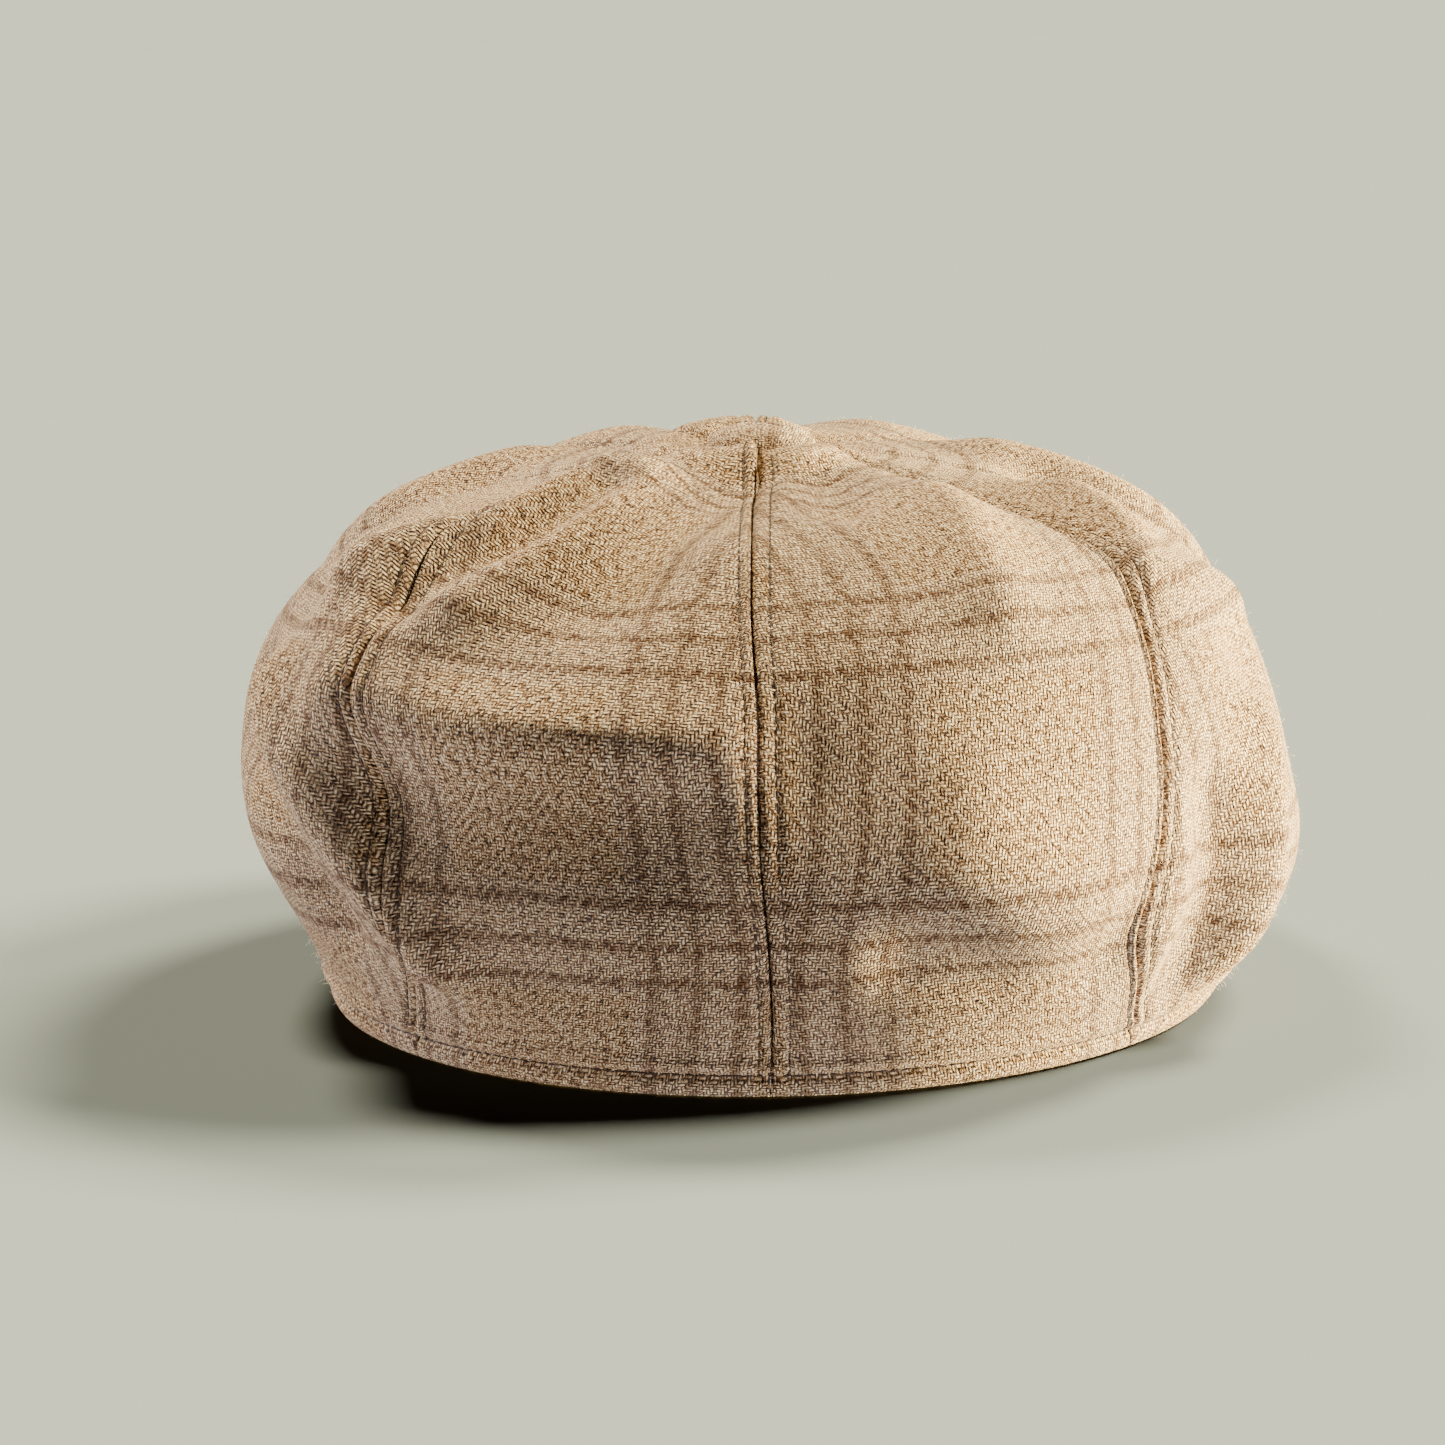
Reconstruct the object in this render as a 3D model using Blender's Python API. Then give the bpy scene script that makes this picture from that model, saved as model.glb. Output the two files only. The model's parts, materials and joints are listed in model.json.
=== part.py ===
"""Eight-panel newsboy cap: tweed crown, lining, sweatband, stiffened peak and covered button.

Metres, +Z up. The cap stands on its hem at z = 0 and its peak points along -Y. The origin is the
middle of the whole cap's footprint, so the crown's own axis stands at y = CROWN_Y. Azimuths are
counted from the back (+Y) towards the wearer's left (+X), and each seam of the crown lies on one.
"""

import math

import bmesh
import bpy
import numpy as np
from mathutils import Matrix

# Driving dimensions ------------------------------------------------------------------------------
GAP = 0.0003                 # air between pieces that touch
GORES = 8                    # panels in the crown and in the lining
PANEL_COLUMNS = 8            # points across a panel
PANEL_ROWS = 12              # rows of points from the sweatband's level to the apex
PANEL_LENGTH = 0.215         # along a panel's middle, hem to apex

HEM_HALF_WIDTH = 0.096       # outer hem oval, semi-axis along X
HEM_HALF_LENGTH = 0.104      # outer hem oval, semi-axis along Y
CROWN_HEIGHT = 0.1180        # top of the crown's cloth above the hem
FRONT_RISE = 0.0015          # how much higher the crown stands over the forehead
OVERHANG = (0.0215, 0.0180, 0.0280)      # crown beyond the hem at the back, side and front
BULGE_HEIGHT = (0.051, 0.042, 0.062)     # height of that widest line at the back, side and front
WALL_UPRIGHT = (1.15, 1.15, 2.4)         # larger keeps the foot of the wall upright for longer
CROWN_FULLNESS = (2.5, 2.9, 2.5)         # superellipse exponents above the widest line
SEAM_PINCH = 0.0022          # seams lie this far inside the puffed panels
BUTTON_DIMPLE = 0.0030       # dip of the crown under its button
DIMPLE_RADIUS = 0.018
SEAM_GAP = 0.0002            # each panel's edge to its seam
TWEED = 0.0016               # crown cloth with its interlining
HEM_LIP = 0.0028             # folded hem, in and out of the crown's wall
HEM_LIP_HEIGHT = 0.0060
APEX_RADIUS = 0.0045         # the panels' points stop here, round the button's shank
FRONT_ARCH = 0.0125          # the hem lifts this far at the middle of the forehead
ARCH_START = math.radians(112)

LINING = 0.0005
LINING_FOOT = 0.0120         # height of the lining's lower edge above the hem
LINING_CLEARANCE = 0.0012    # lining inside the crown cloth

SWEATBAND = 0.0012
SWEATBAND_HEIGHT = 0.032
SWEATBAND_INSET = 0.0045     # hem oval to the sweatband's outer face
TAPE = 0.0006
TAPE_HEIGHT = 0.0080
BAND_FOOT = 0.0010           # tape and sweatband end this far above the hem's edge

PEAK_LENGTH = 0.060          # from the hem to the middle of the peak's edge
PEAK_HALF_WIDTH = 0.086
PEAK_ROOT_ANGLE = math.radians(54)       # half the arc of hem that the peak is sewn to
PEAK_ROOT_GAP = 0.0024       # room at the root for the flexing seam
PEAK_CORNER_Y = 0.066        # the peak's corners, ahead of the crown's axis
PEAK_BOW = 0.0105            # middle of the peak above its corners
PEAK_DROOP = 0.0035          # middle of the edge below the middle of the root
PEAK_CORNER_Z = 0.0034
PEAK_BOARD = 0.0016
PEAK_TOP_CLOTH = 0.0012
PEAK_UNDER_CLOTH = 0.0010
PEAK_BOARD_SHARE = 0.94      # board edges inside the cloth's edges, as a share of the outline
PEAK_AXIS_AHEAD = 0.084      # the seam's flexing line, ahead of the crown's axis
PEAK_AXIS_Z = 0.010

BUTTON_RADIUS = 0.0125
BUTTON_RISE = 0.0060
BUTTON_CLOTH = 0.0011
BUTTON_SHELL = 0.0006
SHANK_RADIUS = 0.0020
WASHER_RADIUS = 0.0090

LABEL_HALF_ANGLE = math.radians(13)
LABEL_FOOT, LABEL_TOP = 0.24, 0.34       # shares of the panel's length
LABEL_THICKNESS = 0.0004
LABEL_CLEARANCE = 0.0014     # the label hangs this far off the lining
TAB_ANGLE = math.radians(28)
TAB_HALF_WIDTH = 0.007
TAB_HEIGHT = 0.012

BACK_REACH = HEM_HALF_LENGTH + OVERHANG[0] - 0.9 * SEAM_PINCH
FRONT_REACH = HEM_HALF_LENGTH + PEAK_ROOT_GAP + PEAK_LENGTH
CROWN_Y = (FRONT_REACH - BACK_REACH) / 2
APEX_Z = CROWN_HEIGHT - BUTTON_DIMPLE

PANEL_NAMES = ("back_left", "rear_side_left", "front_side_left", "front_left",
               "front_right", "front_side_right", "rear_side_right", "back_right")


# Materials ---------------------------------------------------------------------------------------
FINISHES = {                 # name: linear colour, roughness, metallic
    "tweed": ((0.40, 0.29, 0.19), 0.95, 0.0),
    "lining_satin": ((0.115, 0.062, 0.036), 0.38, 0.0),
    "sweatband_twill": ((0.085, 0.055, 0.038), 0.80, 0.0),
    "stay_tape": ((0.62, 0.58, 0.50), 0.90, 0.0),
    "peak_board": ((0.72, 0.72, 0.70), 0.55, 0.0),
    "button_metal": ((0.70, 0.70, 0.71), 0.35, 1.0),
    "washer_plastic": ((0.05, 0.045, 0.04), 0.45, 0.0),
    "label_satin": ((0.66, 0.60, 0.48), 0.50, 0.0),
}


def finish(name):
    material = bpy.data.materials.get(name)
    if material is None:
        colour, roughness, metallic = FINISHES[name]
        material = bpy.data.materials.new(name)
        material.use_nodes = True
        shader = material.node_tree.nodes["Principled BSDF"]
        shader.inputs["Base Color"].default_value = (*colour, 1.0)
        shader.inputs["Roughness"].default_value = roughness
        shader.inputs["Metallic"].default_value = metallic
    return material


# Mesh helpers ------------------------------------------------------------------------------------
def add_object(name, bm, material_name, smooth_angle=40):
    """Make one named object of the mesh, with its faces turned outwards."""
    bmesh.ops.recalc_face_normals(bm, faces=bm.faces)
    mesh = bpy.data.meshes.new(name)
    bm.to_mesh(mesh)
    bm.free()
    mesh.shade_smooth()
    mesh.set_sharp_from_angle(angle=math.radians(smooth_angle))
    mesh.materials.append(finish(material_name))
    obj = bpy.data.objects.new(name, mesh)
    bpy.context.scene.collection.objects.link(obj)
    return obj


def strip_faces(bm, first, second, closed):
    """Quads between two rows of vertices."""
    count = len(first)
    for i in range(count if closed else count - 1):
        j = (i + 1) % count
        bm.faces.new((first[i], first[j], second[j], second[i]))


def slab(name, outer, inner, material_name, closed=False):
    """A sheet with two faces, each an array rows x columns x 3, closed round its edges.

    closed joins each row's ends, for bands that run all the way round.
    """
    bm = bmesh.new()
    faces = [[[bm.verts.new(point) for point in row] for row in grid] for grid in (outer, inner)]
    for grid in faces:
        for first, second in zip(grid[:-1], grid[1:]):
            strip_faces(bm, first, second, closed)
    for row in (0, -1):
        strip_faces(bm, faces[0][row], faces[1][row], closed)
    if not closed:
        for column in (0, -1):
            strip_faces(bm, [row[column] for row in faces[0]], [row[column] for row in faces[1]], False)
    return add_object(name, bm, material_name)


def turned(name, profile, centre, material_name, segments=28):
    """Turn a closed (radius, height) profile about the vertical and stand it at centre.

    A point on the axis becomes one pole vertex.
    """
    bm = bmesh.new()
    rings = []
    for radius, height in profile:
        turns = segments if radius > 0 else 1
        angles = [2 * math.pi * k / turns for k in range(turns)]
        rings.append([bm.verts.new((radius * math.cos(angle), radius * math.sin(angle), height))
                      for angle in angles])
    for first, second in zip(rings, rings[1:] + rings[:1]):
        if len(first) == 1 and len(second) == 1:
            continue
        if len(first) == 1 or len(second) == 1:
            pole, ring = (first[0], second) if len(first) == 1 else (second[0], first)
            for k in range(segments):
                bm.faces.new((pole, ring[k], ring[(k + 1) % segments]))
        else:
            strip_faces(bm, first, second, True)
    obj = add_object(name, bm, material_name)
    obj.location = centre
    return obj


# The cap's shape ---------------------------------------------------------------------------------
def around(values, azimuth):
    """Blend (back, side, front) values at an azimuth."""
    back = max(math.cos(azimuth), 0.0) ** 2
    front = max(-math.cos(azimuth), 0.0) ** 2
    return values[0] * back + values[1] * (1 - back - front) + values[2] * front


def smooth_step(value):
    value = min(max(value, 0.0), 1.0)
    return value * value * (3 - 2 * value)


def hem_radius(azimuth):
    along = HEM_HALF_WIDTH * math.cos(azimuth)
    across = HEM_HALF_LENGTH * math.sin(azimuth)
    return HEM_HALF_WIDTH * HEM_HALF_LENGTH / math.hypot(along, across)


def hem_height(azimuth):
    """Height of the hem's lower edge: flat at the back and sides, arched over the peak."""
    turn = abs((azimuth + math.pi) % (2 * math.pi) - math.pi)
    return FRONT_ARCH * smooth_step((turn - ARCH_START) / (math.pi - ARCH_START))


def place(azimuth, radius, height):
    return (radius * math.sin(azimuth), CROWN_Y + radius * math.cos(azimuth), height)


def meridian(azimuth, samples=240):
    """The crown's outer line from hem to apex as (radius, height), evenly spaced along itself."""
    foot, rise = hem_radius(azimuth), hem_height(azimuth)
    widest = foot + around(OVERHANG, azimuth)
    waist = around(BULGE_HEIGHT, azimuth)
    top = CROWN_HEIGHT + around((0.0, 0.0, FRONT_RISE), azimuth)
    climb = np.linspace(0.0, 1.0, samples)
    lean = np.sin(climb ** around(WALL_UPRIGHT, azimuth) * math.pi / 2)
    lower = np.column_stack((foot + (widest - foot) * lean,
                             rise + (waist - rise) * climb))
    angle = climb[1:] * math.pi / 2
    power = 2 / around(CROWN_FULLNESS, azimuth)
    upper = np.column_stack((widest * np.maximum(np.cos(angle), 0.0) ** power,
                             waist + (top - waist) * np.sin(angle) ** power))
    line = np.vstack((lower, upper))
    line[:, 1] -= (BUTTON_DIMPLE + top - CROWN_HEIGHT) * np.exp(-(line[:, 0] / DIMPLE_RADIUS) ** 2)
    length = np.concatenate(([0.0], np.cumsum(np.hypot(*np.diff(line, axis=0).T))))
    even = np.linspace(0.0, length[-1], samples)
    return np.column_stack([np.interp(even, length, line[:, axis]) for axis in (0, 1)])


def crown_point(azimuth, share, depth=0.0, pinch=0.0):
    """Radius and height at a share of the meridian's length, depth inside the outer cloth."""
    line = meridian_at(azimuth)
    position = share * (len(line) - 1)
    index = min(int(position), len(line) - 2)
    point = line[index] + (line[index + 1] - line[index]) * (position - index)
    before, after = line[max(index - 3, 0)], line[min(index + 4, len(line) - 1)]
    tangent = (after - before) / np.linalg.norm(after - before)
    inward = np.array((-tangent[1], tangent[0]))
    fade = math.sin(math.pi * min(max(share, 0.0), 1.0))
    return point + inward * (depth + pinch * fade)


MERIDIANS = {}


def meridian_at(azimuth):
    key = round(azimuth, 6)
    if key not in MERIDIANS:
        MERIDIANS[key] = meridian(azimuth)
    return MERIDIANS[key]


def body_shares():
    """Rows that the crown and its lining have in common, so their facets lie parallel."""
    return list(np.linspace(LINING_FOOT / PANEL_LENGTH, last_share(), PANEL_ROWS))


def panel_grid(middle, shares, depth_at):
    """Points of one panel: a row for each share of its length, a column for each step across."""
    half = math.pi / GORES
    rows = []
    for share in shares:
        row = []
        for step in np.linspace(-1.0, 1.0, PANEL_COLUMNS):
            radius = crown_point(middle + step * half, share)[0]
            trimmed = half - math.asin(SEAM_GAP / max(radius, APEX_RADIUS))
            azimuth = middle + step * trimmed
            pinch = SEAM_PINCH * abs(step) ** 4
            radius, height = crown_point(azimuth, share, depth_at(share), pinch)
            row.append(place(azimuth, max(radius, APEX_RADIUS), height))
        rows.append(row)
    return rows


def last_share():
    """Share of the panel's length where its point meets the button's shank."""
    line = meridian_at(math.pi / GORES)
    return float(np.interp(-APEX_RADIUS, -line[:, 0], np.linspace(0.0, 1.0, len(line))))


def panel_middle(index):
    return (index + 0.5) * 2 * math.pi / GORES


# The pieces --------------------------------------------------------------------------------------
def build_crown_panels():
    """Eight tweed panels, each with its folded hem lip, from the hem to the button."""
    lip = HEM_LIP_HEIGHT / PANEL_LENGTH
    shares = [0.0, lip * 0.8, lip * 1.35] + body_shares()

    def outer_depth(share):
        return 0.0

    def inner_depth(share):
        return HEM_LIP if share <= lip else TWEED

    for index, name in enumerate(PANEL_NAMES):
        middle = panel_middle(index)
        outer = panel_grid(middle, shares, outer_depth)
        inner = panel_grid(middle, shares, inner_depth)
        flatten_hem(outer, inner)
        slab(f"crown_panel_{name}", outer, inner, "tweed")


def flatten_hem(outer, inner):
    """Level the hem's inner edge with its outer edge, so the cap stands on a flat ring."""
    for column, (x, y, z) in enumerate(outer[0]):
        reach = math.hypot(x, y - CROWN_Y)
        azimuth = math.atan2(x, y - CROWN_Y)
        outer[0][column] = (x, y, hem_height(azimuth))
        inner[0][column] = place(azimuth, reach - HEM_LIP, hem_height(azimuth))


def build_lining_panels():
    """Eight satin panels that hang inside the crown and end above the sweatband's foot."""
    shares = body_shares()
    face = TWEED + LINING_CLEARANCE

    def outer_depth(share):
        return face

    def inner_depth(share):
        return face + LINING

    for index, name in enumerate(PANEL_NAMES):
        middle = panel_middle(index)
        outer = panel_grid(middle, shares, outer_depth)
        inner = panel_grid(middle, shares, inner_depth)
        slab(f"lining_panel_{name}", outer, inner, "lining_satin")


def band(name, inset, thickness, heights, material_name, segments=72):
    """A band that follows the hem oval all the way round."""
    grids = []
    for depth in (inset, inset + thickness):
        rows = []
        for height in heights:
            row = []
            for k in range(segments):
                azimuth = 2 * math.pi * k / segments
                row.append(place(azimuth, hem_radius(azimuth) - depth, hem_height(azimuth) + height))
            rows.append(row)
        grids.append(rows)
    return slab(name, grids[0], grids[1], material_name, closed=True)


def build_bands():
    tape_inset = HEM_LIP + 2 * GAP
    band("hem_stay_tape", tape_inset, TAPE, (BAND_FOOT, BAND_FOOT + TAPE_HEIGHT), "stay_tape")
    top = BAND_FOOT + SWEATBAND_HEIGHT
    band("sweatband", SWEATBAND_INSET, SWEATBAND, (BAND_FOOT, top / 2, top), "sweatband_twill")


def peak_plan(across, forward):
    """Plan point of the peak, across -1..1 from corner to corner, forward 0..1 from root to edge."""
    turn = across * math.pi / 2
    azimuth = math.pi - across * PEAK_ROOT_ANGLE
    reach = hem_radius(azimuth) + PEAK_ROOT_GAP
    root_x, root_y = reach * math.sin(azimuth), reach * math.cos(azimuth)
    edge_x = PEAK_HALF_WIDTH * math.sin(turn)
    edge_y = -PEAK_CORNER_Y - (FRONT_REACH - PEAK_CORNER_Y) * math.cos(turn)
    return root_x + (edge_x - root_x) * forward, root_y + (edge_y - root_y) * forward


def peak_height(x, y):
    """Middle of the peak's thickness: bowed across, drooping a little towards its edge."""
    bow = 1 - min(abs(x) / PEAK_HALF_WIDTH, 1.0) ** 2
    ahead = max(-y - HEM_HALF_LENGTH, 0.0) / PEAK_LENGTH
    return PEAK_CORNER_Z + bow * (PEAK_BOW - PEAK_DROOP * ahead)


def peak_grid(acrosses, forwards, offset):
    """One face of a layer of the peak; offset gives its height over the middle at each point."""
    rows = []
    for forward in forwards:
        row = []
        for across in acrosses:
            x, y = peak_plan(across, forward)
            row.append((x, CROWN_Y + y, peak_height(x, y) + offset(across, forward)))
        rows.append(row)
    return rows


def build_peak():
    """Stiff board between a top and an under cloth whose edges meet round it, on one seam."""
    seam = bpy.data.objects.new("peak_seam", None)
    seam.location = (0.0, CROWN_Y - PEAK_AXIS_AHEAD, PEAK_AXIS_Z)
    bpy.context.scene.collection.objects.link(seam)
    share = PEAK_BOARD_SHARE
    half_board = PEAK_BOARD / 2
    cloth_lines = [-1.0] + list(np.linspace(-share - 0.01, share + 0.01, 23)) + [1.0]
    cloth_steps = list(np.linspace(0.0, share + 0.01, 7)) + [1.0]

    def lift(across, forward):
        inside = abs(across) < 0.99 and forward < 0.99
        return half_board + GAP if inside else GAP / 2

    def layer(name, side, thickness):
        near = peak_grid(cloth_lines, cloth_steps, lambda a, f: side * lift(a, f))
        far = peak_grid(cloth_lines, cloth_steps, lambda a, f: side * (lift(a, f) + thickness))
        return slab(name, far, near, "tweed")

    top_cloth = layer("peak_top_cloth", 1, PEAK_TOP_CLOTH)
    under_cloth = layer("peak_under_cloth", -1, PEAK_UNDER_CLOTH)
    board_lines = np.linspace(-share, share, 23)
    board_steps = np.linspace(0.03, share, 6)
    top = peak_grid(board_lines, board_steps, lambda a, f: half_board)
    bottom = peak_grid(board_lines, board_steps, lambda a, f: -half_board)
    board = slab("peak_board", top, bottom, "peak_board")
    for piece in (top_cloth, under_cloth, board):
        piece.parent = seam
        piece.matrix_parent_inverse = Matrix.Translation(seam.location).inverted()


def dome(radius, rise, steps):
    """Quarter-superellipse points from the rim up to the pole."""
    points = []
    for angle in np.linspace(0.0, math.pi / 2, steps):
        points.append((radius * max(math.cos(angle), 0.0) ** 0.8, rise * math.sin(angle) ** 0.9))
    points[-1] = (0.0, rise)
    return points


def build_button():
    """Cloth cover over a metal shell, its back with the shank, and the washer inside the lining."""
    seat = (0.0, CROWN_Y, CROWN_HEIGHT - BUTTON_DIMPLE * 0.35 + GAP)
    shell_radius = BUTTON_RADIUS - BUTTON_CLOTH - GAP
    shell_rise = BUTTON_RISE - BUTTON_CLOTH - GAP

    cover = dome(BUTTON_RADIUS, BUTTON_RISE, 8)
    hollow = dome(BUTTON_RADIUS - BUTTON_CLOTH, BUTTON_RISE - BUTTON_CLOTH, 7)
    turned("button_cover", cover + hollow[::-1], seat, "tweed")

    shell = dome(shell_radius, shell_rise, 7)
    core = dome(shell_radius - BUTTON_SHELL, shell_rise - BUTTON_SHELL, 6)
    turned("button_shell", shell + core[::-1], seat, "button_metal")

    plate_radius = shell_radius - BUTTON_SHELL - GAP
    plate = 0.0008
    shank_end = -(seat[2] - APEX_Z) - TWEED - LINING_CLEARANCE - LINING - GAP - 0.0022
    back = [(0.0, plate), (plate_radius, plate), (plate_radius, 0.0),
            (SHANK_RADIUS, 0.0), (SHANK_RADIUS, shank_end), (0.0, shank_end)]
    turned("button_back", back, seat, "button_metal", segments=24)

    washer_top = APEX_Z - TWEED - LINING_CLEARANCE - LINING - 3 * GAP
    hole = SHANK_RADIUS + GAP
    washer = [(hole, 0.0), (WASHER_RADIUS, 0.0), (WASHER_RADIUS, -0.0010), (hole, -0.0010)]
    turned("button_washer", washer, (0.0, CROWN_Y, washer_top), "washer_plastic", segments=24)


def build_labels():
    """A blank woven label on the lining's back, and a blank size tab inside the sweatband."""
    depth = TWEED + LINING_CLEARANCE + LINING + LABEL_CLEARANCE
    grids = []
    for face in (depth, depth + LABEL_THICKNESS):
        rows = []
        for share in np.linspace(LABEL_FOOT, LABEL_TOP, 4):
            row = []
            for azimuth in np.linspace(-LABEL_HALF_ANGLE, LABEL_HALF_ANGLE, 7):
                radius, height = crown_point(azimuth, share, face, SEAM_PINCH)
                row.append(place(azimuth, radius, height))
            rows.append(row)
        grids.append(rows)
    slab("maker_label", grids[0], grids[1], "label_satin")

    inset = SWEATBAND_INSET + SWEATBAND + GAP
    half_angle = TAB_HALF_WIDTH / HEM_HALF_LENGTH
    grids = []
    for face in (inset, inset + LABEL_THICKNESS):
        rows = []
        for height in (SWEATBAND_HEIGHT - TAB_HEIGHT, SWEATBAND_HEIGHT):
            row = []
            for azimuth in np.linspace(TAB_ANGLE - half_angle, TAB_ANGLE + half_angle, 3):
                row.append(place(azimuth, hem_radius(azimuth) - face, height))
            rows.append(row)
        grids.append(rows)
    slab("size_tab", grids[0], grids[1], "label_satin")


def main():
    for obj in list(bpy.data.objects):
        bpy.data.objects.remove(obj, do_unlink=True)
    build_crown_panels()
    build_lining_panels()
    build_bands()
    build_peak()
    build_button()
    build_labels()


main()
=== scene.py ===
"""Eight-panel newsboy cap in plaid wool tweed: cloth, stitching, lining, peak, button and studio.

Run as a script inside Blender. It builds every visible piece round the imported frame. Metres, +Z up:
the cap stands on its hem at z = 0, its peak points along -Y, and azimuths are counted round the
crown's own axis from the back (+Y) towards the wearer's left (+X).
"""

import json
import math

import bmesh
import bpy
import numpy as np
from bpy.props import FloatProperty, FloatVectorProperty, IntProperty, PointerProperty
from mathutils import Matrix, Vector

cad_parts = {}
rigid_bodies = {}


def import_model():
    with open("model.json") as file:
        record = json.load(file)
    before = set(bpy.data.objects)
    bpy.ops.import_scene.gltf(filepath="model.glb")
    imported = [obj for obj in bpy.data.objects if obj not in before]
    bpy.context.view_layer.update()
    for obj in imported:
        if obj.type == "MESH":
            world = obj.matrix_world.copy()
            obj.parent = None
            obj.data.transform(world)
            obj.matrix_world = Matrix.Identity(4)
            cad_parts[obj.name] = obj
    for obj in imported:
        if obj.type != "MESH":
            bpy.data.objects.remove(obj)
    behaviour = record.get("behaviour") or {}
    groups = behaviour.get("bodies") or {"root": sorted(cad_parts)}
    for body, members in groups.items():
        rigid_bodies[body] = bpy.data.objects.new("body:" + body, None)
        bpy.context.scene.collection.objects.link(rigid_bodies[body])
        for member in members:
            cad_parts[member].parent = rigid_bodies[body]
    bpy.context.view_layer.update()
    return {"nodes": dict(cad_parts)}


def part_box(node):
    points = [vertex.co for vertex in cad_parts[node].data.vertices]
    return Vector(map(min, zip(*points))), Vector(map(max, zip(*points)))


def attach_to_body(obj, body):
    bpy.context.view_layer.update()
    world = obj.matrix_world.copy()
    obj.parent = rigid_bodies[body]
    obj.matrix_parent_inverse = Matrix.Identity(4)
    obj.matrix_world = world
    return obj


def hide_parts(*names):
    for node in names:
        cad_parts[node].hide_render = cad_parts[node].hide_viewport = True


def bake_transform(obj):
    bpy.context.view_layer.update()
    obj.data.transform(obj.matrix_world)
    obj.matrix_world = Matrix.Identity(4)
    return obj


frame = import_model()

bl_info = {
    "name": "Newsboy Cap",
    "version": (1, 0, 0),
    "blender": (4, 5, 0),
    "location": "3D View > Sidebar > Cap",
    "description": "Builds the cloth, stitching and trim of an eight-panel newsboy cap",
    "category": "Object",
}

MM = 0.001

# Places taken from the frame.
SWEATBAND_INSET = 0.0045                      # the sweatband's outer face off the hem's oval
BAND_LOW, BAND_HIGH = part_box("sweatband")
PEAK_LOW, PEAK_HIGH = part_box("peak_top_cloth")
CROWN_Y = (BAND_LOW.y + BAND_HIGH.y) / 2
HEM_HALF_WIDTH = (BAND_HIGH.x - BAND_LOW.x) / 2 + SWEATBAND_INSET
HEM_HALF_LENGTH = (BAND_HIGH.y - BAND_LOW.y) / 2 + SWEATBAND_INSET
BUTTON_LOW, BUTTON_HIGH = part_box("button_cover")
BUTTON_RADIUS = (BUTTON_HIGH.x - BUTTON_LOW.x) / 2
BUTTON_RISE = BUTTON_HIGH.z - BUTTON_LOW.z
PEAK_EDGE_Y = CROWN_Y - PEAK_LOW.y           # crown's axis to the middle of the peak's edge
PEAK_HALF_WIDTH = PEAK_HIGH.x

GORES = 8
PANEL_NAMES = ("back_left", "rear_side_left", "front_side_left", "front_left",
               "front_right", "front_side_right", "rear_side_right", "back_right")
FRONT_GORES = (3, 4)
FRONT_SEAM = 4

# The crown's block: (back, side, front) values, blended round the cap.
CROWN_HEIGHT = 0.1180
FRONT_RISE = 0.0015
OVERHANG = (0.0215, 0.0180, 0.0280)           # the bulge's reach past the hem
BULGE_HEIGHT = (0.051, 0.042, 0.062)
WALL_UPRIGHT = (1.15, 1.15, 2.4)              # more keeps the wall upright for longer
CROWN_FULLNESS = (2.45, 2.6, 2.4)             # 2 is an ellipse over the bulge, more is squarer
BUTTON_DIMPLE = 0.0030                        # depth that the button pulls the apex down
DIMPLE_RADIUS = 0.018
APEX_RADIUS = 0.0045
CLOTH = 0.0012                                # the tweed's thickness
HEM_TURN = 0.0014                             # radius of the folded hem's edge
HEM_PLY = 0.010                               # height of the turned-up ply inside the hem
HEM_LIP = 0.0052                              # hem's edge to its topstitching
LINING_DEPTH = 0.0028                         # lining off the block
LINING_CLOTH = 0.0005
LINING_FOOT = 0.0115
SEAM_ROWS = (0.0024, 0.0036)                  # topstitching beside a seam: after it, before it
PEAK_ROOT_ANGLE = math.radians(54)
PEAK_CORNER_Y = 0.066
PEAK_CORNER_Z = 0.0034
PEAK_BOW = 0.0105
PEAK_DROOP = 0.0035
PEAK_TUCK = 0.0036                            # how far the peak's cloth runs in under the hem
PEAK_SKIN = (0.0023, 0.0021)                  # top and under cloth's faces off the peak's middle
PEAK_EDGE_ROUND = 0.0032
PEAK_HALF_ROOT = 0.094                        # middle to corner, round the root
PEAK_CORNER_BLEND = 0.0012                    # rounding where the edge meets the peak's corners
PEAK_STITCH_ROW = 0.0062                      # peak's edge to its topstitching
PEAK_CHANNEL = 0.00035                        # depth that the topstitching pulls
PEAK_THREAD_PROUD = 0.00008
PEAK_CLOTHS = (   # name, CAD node, side of the board, thickness
    ("peak_top_tweed", "peak_top_cloth", 1, 0.0011), ("peak_under_tweed", "peak_under_cloth", -1, 0.0010))
ARCH_START = math.radians(106)                # where the hem starts to climb onto the peak
BAND_ARCH_START = math.radians(112)
BAND_ARCH_RISE = 0.0125

# Seams and hem: how far the cloth rises or sinks, and over what half width.
GROOVE_WIDTH = 0.00045
STITCH_CHANNEL_WIDTH = 0.0011
FULL_SEAM_PANEL = 0.022                       # panels narrower than this squeeze their seams
LEAST_SEAM_SCALE = 0.12
HEM_SWELL = 0.00055
HEM_CHANNEL, HEM_CHANNEL_WIDTH = 0.00075, 0.0014
HEM_RIDGE, HEM_RIDGE_WIDTH = 0.0007, 0.0026
THREAD_PROUD = 0.00012                        # thread's middle over the bottom of the hem's channel
STITCHED_APEX = 0.2035                        # where the seams' topstitching ends, from the hem
HEM_ROW_CORNER = math.radians(135)            # the hem's topstitching bends with the peak beyond this
SWEATBAND_ROWS = ((0.0057, 0.0300), (0.0057, 0.0032))   # (inset, height) of its stitching

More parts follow.
